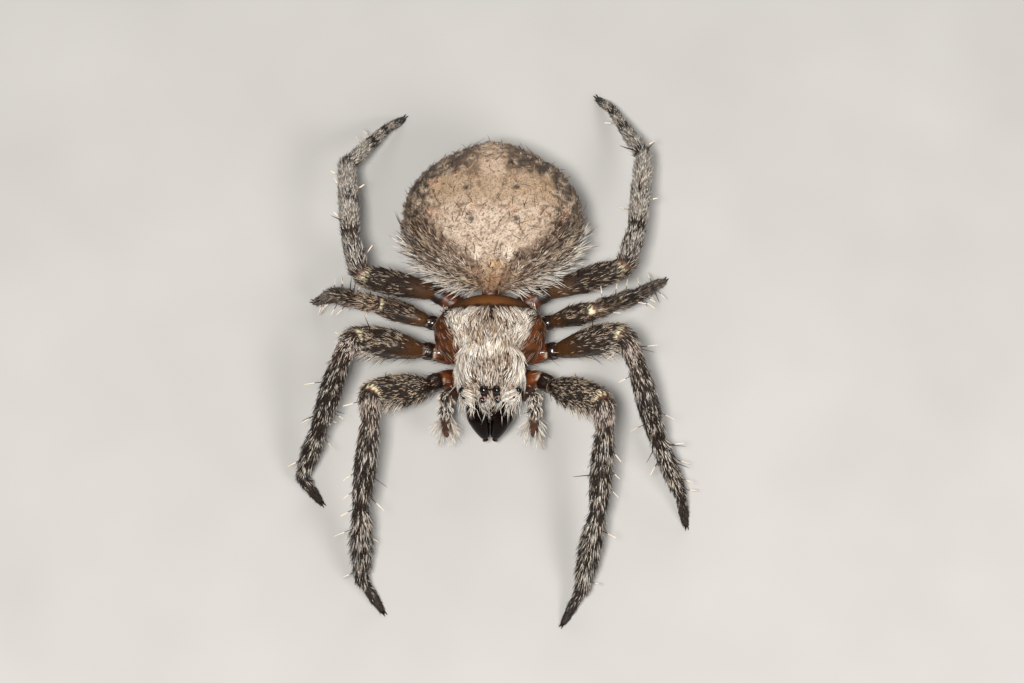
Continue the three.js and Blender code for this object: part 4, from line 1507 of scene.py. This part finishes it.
# Length and width of the hairs at stations along a leg.
HAIR_STATIONS = (0, 2, 3, 4, 5, 6, 7)
HAIR_LENGTHS = (0.36, 0.54, 0.42, 0.42, 0.52, 0.38, 0.18)
HAIR_WIDTHS = (0.029, 0.029, 0.034, 0.038, 0.042, 0.038, 0.03)
LEG_HAIRS = 520  # hairs for each millimetre of a leg
LEG_CREAM = srgb(206, 186, 162)
LEG_BLACK = srgb(41, 27, 17)
HAIR_RUSTY = srgb(150, 120, 94)
PATELLA_HAIR = srgb(232, 214, 202)
LEG_WARMTH = {1: 0.0, 2: 0.0, 3: 1.1, 4: 0.0}


def leg_place(number, side, u, v):
    """Where a leg's hair lies on the map that all eight legs share."""
    row = (number - 1) + (4 if side == "left" else 0)
    return np.stack([u, (row + 0.02 + 0.95 * (v + math.pi) / TURN) / 8], -1)


def inside_body(points):
    """True for points inside the shell or the abdomen."""
    s = (points[:, 1] - (ABDOMEN["front"] + ABDOMEN["rear"]) / 2) / ((ABDOMEN["rear"] - ABDOMEN["front"]) / 2)
    wide = np.abs(points[:, 0]) / ABDOMEN["half_width"]
    tall = np.abs(points[:, 2] - ABDOMEN["height"]) / ABDOMEN["half_height"]
    return in_shield(points, shrunk(THORAX, 0.05)) | (s * s + wide * wide + tall * tall < 0.9)


def leg_hair_weight(number, path):
    """How thickly hair grows along a leg: thinly on the base and where the femur is bare."""
    def weight(u, point, normal):
        station = read_limb(path, "station", u)
        start = bare_to(number, normal)
        femur = 0.05 + 0.95 * ramp(station, start - 0.12, start + 0.2)
        femur = femur * (1 - 0.9 * knee_band(number, station, normal, 2.985, 0.045))
        femur = femur * (1 + 0.35 * ramp(station, 5.0, 5.7)) * (1 - 0.5 * ramp(station, 6.0, 6.15))
        return np.where(station < 2, 0.06, femur)

    return weight


def pale_leg_hair(rng, number, station, fringe):
    """Colours of a leg's pale hairs: cream on the femur, whiter beyond, with grey among them."""
    count, fore = len(station), number < 3
    grey = ramp(rng.normal(size=count) + LEG_WARMTH[number], 0.4, 2.0)
    white = ramp(station, 3.6, 4.3) if number < 4 else ramp(station, 2.9, 3.2)
    light = blend(LEG_CREAM, HAIR_WHITE, white * (0.5 if number == 3 else 1.0))
    mixed = blend(light, HAIR_RUSTY if number == 3 else HAIR_GREY, grey)
    mixed = blend(mixed, HAIR_WHITE, 0.6 * fringe)
    patella = ramp(station, 3.05, 3.25) * fade(station, 3.75, 3.95)
    colour = shades(rng, blend(mixed, PATELLA_HAIR, 0.75 * patella * fore), count)
    return colour * (1 - 0.4 * ramp(station, 6.0, 6.4) * fore)[:, None]


def add_leg_hairs(coat, rng, number, side, hairs, pale):
    """Adds the pale or the dark hairs of a leg. They stand off on the foot and under the femur."""
    u, v, point, normal, station, along, fringe = hairs
    count, fore = len(u), number < 3
    colour = pale_leg_hair(rng, number, station, fringe) if pale else shades(rng, LEG_BLACK, count, 0.3)
    foot = ramp(station, 4.9, 5.4) * fade(station, 5.95, 6.05) * fore
    thin = ramp(station, 5.2, 5.7) * (number == 4)
    outstanding = rng.random(count) < 0.1 + 0.12 * foot
    stray = fringe * (rng.random(count) < 0.4)
    under = ramp(-normal[:, 2], -0.1, 0.5) * fore * fade(station, 2.9, 3.1)
    knee = (0.65 if number == 3 else 0.35) * knee_band(number, station, normal, 2.88, 0.055)
    coat.add(
        root=point, normal=normal, place=leg_place(number, side, u, v),
        lie=combed(along, normal, bell(rng, count, 0.12)),
        length=np.interp(station, HAIR_STATIONS, HAIR_LENGTHS) * rng.uniform(0.75, 1.2, count)
        * (1 + 0.35 * foot * (number == 1) - 0.35 * thin + 0.25 * under + 0.5 * stray) * (1 - knee),
        width=np.interp(station, HAIR_STATIONS, HAIR_WIDTHS) * rng.uniform(0.85, 1.15, count),
        lift=np.radians(rng.uniform(5, 15, count) + 14 * outstanding + 6 * foot + 14 * under
                        + 26 * stray),
        bow=rng.uniform(-0.1, 0.03, count), sway=bell(rng, count, 0.05),
        # Darker roots, most of all on the pale hairs, are painted shade among the hairs.
        base=colour * (0.42 if pale else 0.8), tip=colour * (1.06 if pale else 1.0),
    )


def build_leg_coat():
    """The hairs of all legs, in a pale and a dark piece for legs 1, for legs 2 and for the rest."""
    rng = np.random.default_rng(301)
    material = hair_material("leg_hair", 0.45)
    coats = {}
    for pair in ("first", "second", "hind"):
        for name in ("pale", "dark"):
            coats[pair, name] = Coat(f"leg_coat_{pair}_{name}", "leg_coat", material)
    for (number, side), path in LEG_LIMBS.items():
        count = int(path["length"] * LEG_HAIRS)
        weight = leg_hair_weight(number, path)
        u, v, point, normal = scatter(limb_surface(path), count, rng, weight, (220, 24))
        keep = ~inside_body(point)
        u, v, point, normal = u[keep], v[keep], point[keep], normal[keep]
        station, along = read_limb(path, "station", u), read_limb(path, "along", u)
        fringe = ramp(-0.94 * normal[:, 1] - 0.34 * normal[:, 2], 0.5, 0.9) * (number < 3)
        fringe = fringe * ramp(station, 2.3, 2.5) * fade(station, 2.85, 3.0)
        is_dark = rng.random(len(u)) < leg_dark(number, station, point) * (1 - 0.55 * fringe)
        for name, mine in (("dark", is_dark), ("pale", ~is_dark)):
            hairs = [values[mine] for values in (u, v, point, normal, station, along, fringe)]
            coat = coats[{1: "first", 2: "second"}.get(number, "hind"), name]
            add_leg_hairs(coat, rng, number, side, hairs, name == "pale")
    for coat in coats.values():
        coat.build()


SPINE_WHITE, SPINE_TAN = srgb(212, 198, 180), srgb(150, 128, 104)
SPINE_BROWN, SPINE_BLACK = srgb(44, 28, 20), srgb(40, 28, 20)
# Spines of a leg: station and angle round the limb, in degrees from its upper side.
SPINES = (
    (2.5, 10), (2.64, -30), (2.8, 40), (2.88, -15), (3.4, 80), (3.55, -75),
    (4.14, 85), (4.26, -80), (4.38, 98), (4.46, -96), (4.6, 70), (4.7, -70),
    (4.84, 100), (4.9, -95), (5.12, 85), (5.2, -88), (5.36, 95), (5.48, -100), (5.62, 80),
    (5.72, -75), (5.88, 95), (5.93, -90),
)


def build_spines():
    """The spines of the legs. Those of the femora and a few others are dark and slender. The
    rest are dark for their first half, then pale, with a blunt end."""
    rng = np.random.default_rng(302)
    material = hair_material("spine_horn", 0.3)
    stout = ((0.0, 0.8), (0.42, 0.62), (0.47, 0.95), (0.75, 1.0), (0.97, 0.72))
    slender = ((0.0, 1.0), (0.4, 0.8), (0.8, 0.45))
    for name, profile in (("pale", stout), ("dark", slender)):
        coat = Coat(f"leg_spines_{name}", "leg_coat", material, profile, sides=5, flat=1.0, turn=0.44)
        for (number, side), path in LEG_LIMBS.items():
            station, angle = np.array(SPINES, float).T
            keep = rng.random(len(station)) < 0.66
            dark = (station < 3) | (rng.random(len(station)) < (0.3 if number < 3 else 0.12))
            keep &= dark == (name == "dark")
            station, angle = station[keep], angle[keep]
            count = len(station)
            station = station + bell(rng, count, 0.03)
            u = np.interp(station, path["station"], path["u"])
            angle = np.radians(90 - angle + 12 * rng.normal(size=count))
            point, normal, _ = measure(limb_surface(path), u, angle)
            tip = SPINE_BLACK if name == "dark" else SPINE_WHITE
            root = SPINE_TAN if name == "pale" and number == 4 else SPINE_BROWN
            length = rng.uniform(0.7, 1.05, count) * (LEGS[number - 1]["girth"] if number < 4 else 0.75)
            coat.add(
                root=point, normal=normal,
                place=leg_place(number, side, u, (angle + math.pi) % TURN - math.pi),
                lie=combed(read_limb(path, "along", u), normal, bell(rng, count, 0.35)),
                length=length, width=rng.uniform(0.044, 0.06, count) * (1.25 if number == 4 else 1.0),
                lift=np.radians(rng.uniform(48, 80, count)), bow=-0.06,
                sway=bell(rng, count, 0.05), base=root, tip=tip,
            )
        coat.build()


# ---- The coat of the palps

PALP_HAIRS = ((False, 400), (True, 74))  # on the first four segments, and on the tarsus


def build_palp_coat():
    """Thick pale hair to the end of the palp's tibia, then long loose hair on its bare tarsus."""
    rng = np.random.default_rng(401)
    material = hair_material("palp_hair", 0.42)
    coat = Coat("palp_coat", "leg_coat", material, LONG_HAIR)
    for side, path in PALP_LIMBS.items():
        row = 0.25 if side == "right" else 0.75
        for foot, total in PALP_HAIRS:
            def weight(u, point, normal):
                station = read_limb(path, "station", u)
                if foot:
                    beside = ramp(np.abs(normal[:, 0]), 0.35, 0.8)
                    return ramp(station, 3.85, 4.1) * fade(station, 4.7, 4.9) * (0.02 + beside)
                return 0.03 + ramp(station, 1.9, 2.4) * fade(station, 3.55, 3.8)

            u, v, point, normal = scatter(limb_surface(path), total, rng, weight, (160, 24))
            keep = ~in_shield(point, shrunk(HEAD, 0.1))
            u, v, point, normal = u[keep], v[keep], point[keep], normal[keep]
            count = len(u)
            mixed = blend(HAIR_WHITE, HAIR_GREY, ramp(rng.normal(size=count), 0.4, 1.6))
            inner = 0.2 + 0.4 * ramp(normal[:, 2], 0.3, 0.9)
            mixed = blend(mixed, HAIR_BLACK, (rng.random(count) < inner) * (0.0 if foot else 1.0))
            colour = shades(rng, mixed, count)
            coat.add(
                root=point, normal=normal, place=np.stack([u, row + 0.24 * v / math.pi], -1),
                lie=combed(read_limb(path, "along", u), normal, bell(rng, count, 0.25)),
                length=rng.uniform(0.65, 1.05, count) if foot else rng.uniform(0.3, 0.42, count),
                width=rng.uniform(0.04, 0.05, count),
                lift=np.radians(rng.uniform(24, 56, count) if foot else rng.uniform(10, 26, count)),
                bow=rng.uniform(-0.25, 0.0, count), sway=bell(rng, count, 0.12),
                # Roots darker than tips are painted shade among the hairs.
                base=colour * 0.45, tip=colour,
            )
    coat.build()


# ---- Eyes, jaws and claws

LENS_GLOSS = {"Roughness": 0.06, "Specular IOR Level": 0.3, "Coat Weight": 0.4, "Coat Roughness": 0.03}
LENS_RIM_AND_GLINT, DARK_RIM_AND_GLINT, LENS_BLACK = srgb(84, 30, 16), srgb(30, 13, 9), srgb(10, 5, 4)
# How far each lens stands out of its solid.
BULGE = {"rear_median": 0.05, "front_median": 0.0, "rear_side": 0.03, "front_side": 0.03}


def build_eyes():
    """Eight smooth dark lenses. The four in the middle have a rust-coloured rim, partly a painted red-brown
    reflection.
    """
    graph = Graph("eye_lens")
    graph.put("Base Color", graph.attribute("tint", "Color"))
    for name, value in LENS_GLOSS.items():
        graph.put(name, value)
    for name, side, form, centre in eye_places():
        looks = unit(mirrored(form["looks"], side))
        centre = centre + BULGE[name] * looks
        vertices, faces = grid_mesh(ellipsoid(centre, (form["radius"],) * 3), 24, 32)
        eye = new_object(f"lens_{name}_{side}", vertices, faces)
        facing = unit(vertices - centre) @ looks
        # The rim, where the lens turns away from where it looks, is partly a ring of its own colour and
        # partly a painted reflection.
        rim, reach = (LENS_RIM_AND_GLINT, 0.65) if "median" in name else (DARK_RIM_AND_GLINT, 0.4)
        store(eye.data, "tint", blend(rim, LENS_BLACK, ramp(facing, -0.05, reach)))
        dress(eye, graph.material, "eye", f"eye_{name}_{side}")


JAW_SKIN = ((0.46, 0.53, 0.02), (0.53, 0.19, 0.05))
FANG_SKIN = ((0.115, 0.095, 0), (0.095, 0.03, 0))
JAW_STEPS, JAW_RING = 60, 32
SLIT = 0.006  # half the width of the slit between the jaws


def pressed_together(vertices, path, side):
    """A jaw's vertices, with its inner side pressed flat along the middle of the spider."""
    rows = np.append(np.repeat(np.arange(JAW_STEPS + 1), JAW_RING), [0, JAW_STEPS]) / JAW_STEPS
    centre = np.abs(read_limb(path, "centre", rows)[:, 0])
    reach = read_limb(path, "radius", rows)
    inward = centre - vertices[:, 0] * SIDES[side]
    inward = np.where(inward > 0, inward * np.maximum((centre - 0.008) / reach, 1), inward)
    vertices[:, 0] = np.maximum(centre - inward, SLIT) * SIDES[side]
    return vertices


def build_jaws():
    black = gloss_material("jaw_cuticle", srgb(7, 4, 4), srgb(20, 8, 6), 0.5, 0.1)
    horn = gloss_material("fang_horn", srgb(28, 10, 6), srgb(96, 26, 12), 0.3, 0.12)
    for side in SIDES:
        path = limb(mirrored(CHELICERA["joints"], side), JAW_SKIN, waist=0, tip=0.1)
        vertices, faces = limb_mesh(path, JAW_STEPS, JAW_RING)
        jaw = new_object(f"jaw_{side}", pressed_together(vertices, path, side), faces)
        dress(jaw, black, "jaw", f"chelicera_{side}")
        path = limb(mirrored(FANG["joints"], side), FANG_SKIN, waist=0, tip=0.05)
        fang = new_object(f"fang_horn_{side}", *limb_mesh(path, 30, 14))
        dress(fang, horn, "jaw", f"fang_{side}")


CLAW_SKIN = ((0.035, 0.03, 0), (0.03, 0.012, 0))
CLAW_HEIGHT = 0.1  # height of a claw's root above the floor


def build_claws():
    """A pair of curved claws under the tip of every leg."""
    horn = gloss_material("claw_horn", srgb(22, 14, 10), srgb(60, 34, 20), 0.1, 0.25)
    parts = []
    for path in LEG_LIMBS.values():
        end, along = path["centre"][-1], path["along"][-1]
        ahead = unit(along * np.array([1, 1, 0]))
        across = np.cross(ahead, UP)
        for way in (-1, 1):
            start = end - along * 0.12 + across * 0.035 * way
            start[2] = CLAW_HEIGHT
            bend = start + ahead * 0.16 + across * 0.03 * way + UP * 0.05
            tip = bend + ahead * 0.1 - UP * 0.125
            claw = limb((start, bend, tip), CLAW_SKIN, waist=0, tip=0.03, step=0.02)
            parts.append(limb_mesh(claw, 14, 8))
    vertices, faces = joined(parts)
    vertices[:, 2] = np.maximum(vertices[:, 2], LOWEST)
    dress(new_object("claws", vertices, faces), horn, "dark_cuticle")


# ---- Floor, light and camera

LENS = 150.0
SENSOR = 36.0
CAMERA_CLIMB = 70.0
CAMERA_DISTANCE = 198.45
CAMERA_TARGET = (1.0, 0.8086, 0.2943)
FLOOR_HALF = 1500.0  # half the width of the floor


def build_floor():
    graph = Graph("floor")
    tone = graph.map(graph.noise(9.0, 2.0), 0.3, 0.7, 0.0, 1.0)
    graph.put("Base Color", graph.mix(tone, (0.36, 0.35, 0.335), (0.39, 0.38, 0.365)))
    graph.put("Roughness", 0.85)
    corners = np.array([(-1, -1, 0), (1, -1, 0), (1, 1, 0), (-1, 1, 0)]) * FLOOR_HALF
    floor = new_object("floor", corners, [(0, 1, 2, 3)])
    floor.data.materials.append(graph.material)


def area_light(name, place, size, power, colour=(1, 1, 1), aim=(0, 0, 3)):
    lamp = bpy.data.lights.new(name, "AREA")
    lamp.size = size * MM
    lamp.energy = power
    lamp.color = colour
    made = linked(name, lamp)
    made.location = Vector(place) * MM
    away = Vector(place) - Vector(aim)
    made.rotation_euler = away.to_track_quat("Z", "Y").to_euler()


def build_lights():
    area_light("key", (-14, -64, 178), 22, 0.46, (1.0, 0.98, 0.95))
    area_light("fill", (80, -100, 150), 60, 0.2, (1.0, 0.98, 0.96))
    area_light("back", (20, 160, 120), 100, 0.1)
    world = bpy.data.worlds.new("studio")
    bpy.context.scene.world = world
    world.use_nodes = True
    ambient = world.node_tree.nodes["Background"].inputs
    ambient["Color"].default_value = (0.92, 0.9, 0.87, 1)
    ambient["Strength"].default_value = 0.22


def build_camera():
    camera = bpy.data.cameras.new("camera")
    camera.lens = LENS
    camera.sensor_width = SENSOR
    camera.clip_start = 0.005
    camera.clip_end = 20.0
    made = linked("camera", camera)
    climb = math.radians(CAMERA_CLIMB)
    back = Vector((0, -math.cos(climb), math.sin(climb)))
    made.location = (Vector(CAMERA_TARGET) + back * CAMERA_DISTANCE) * MM
    made.rotation_euler = (math.radians(90 - CAMERA_CLIMB), 0, 0)
    bpy.context.scene.camera = made
    bpy.context.scene.view_settings.view_transform = "Standard"


build_camera()
build_lights()
build_floor()
build_skin()
shell = build_shell()
build_eyes()
build_jaws()
build_claws()
build_head_coat(shell)
build_abdomen_down()
build_abdomen_fringe()
build_bristles()
build_leg_coat()
build_spines()
build_palp_coat()
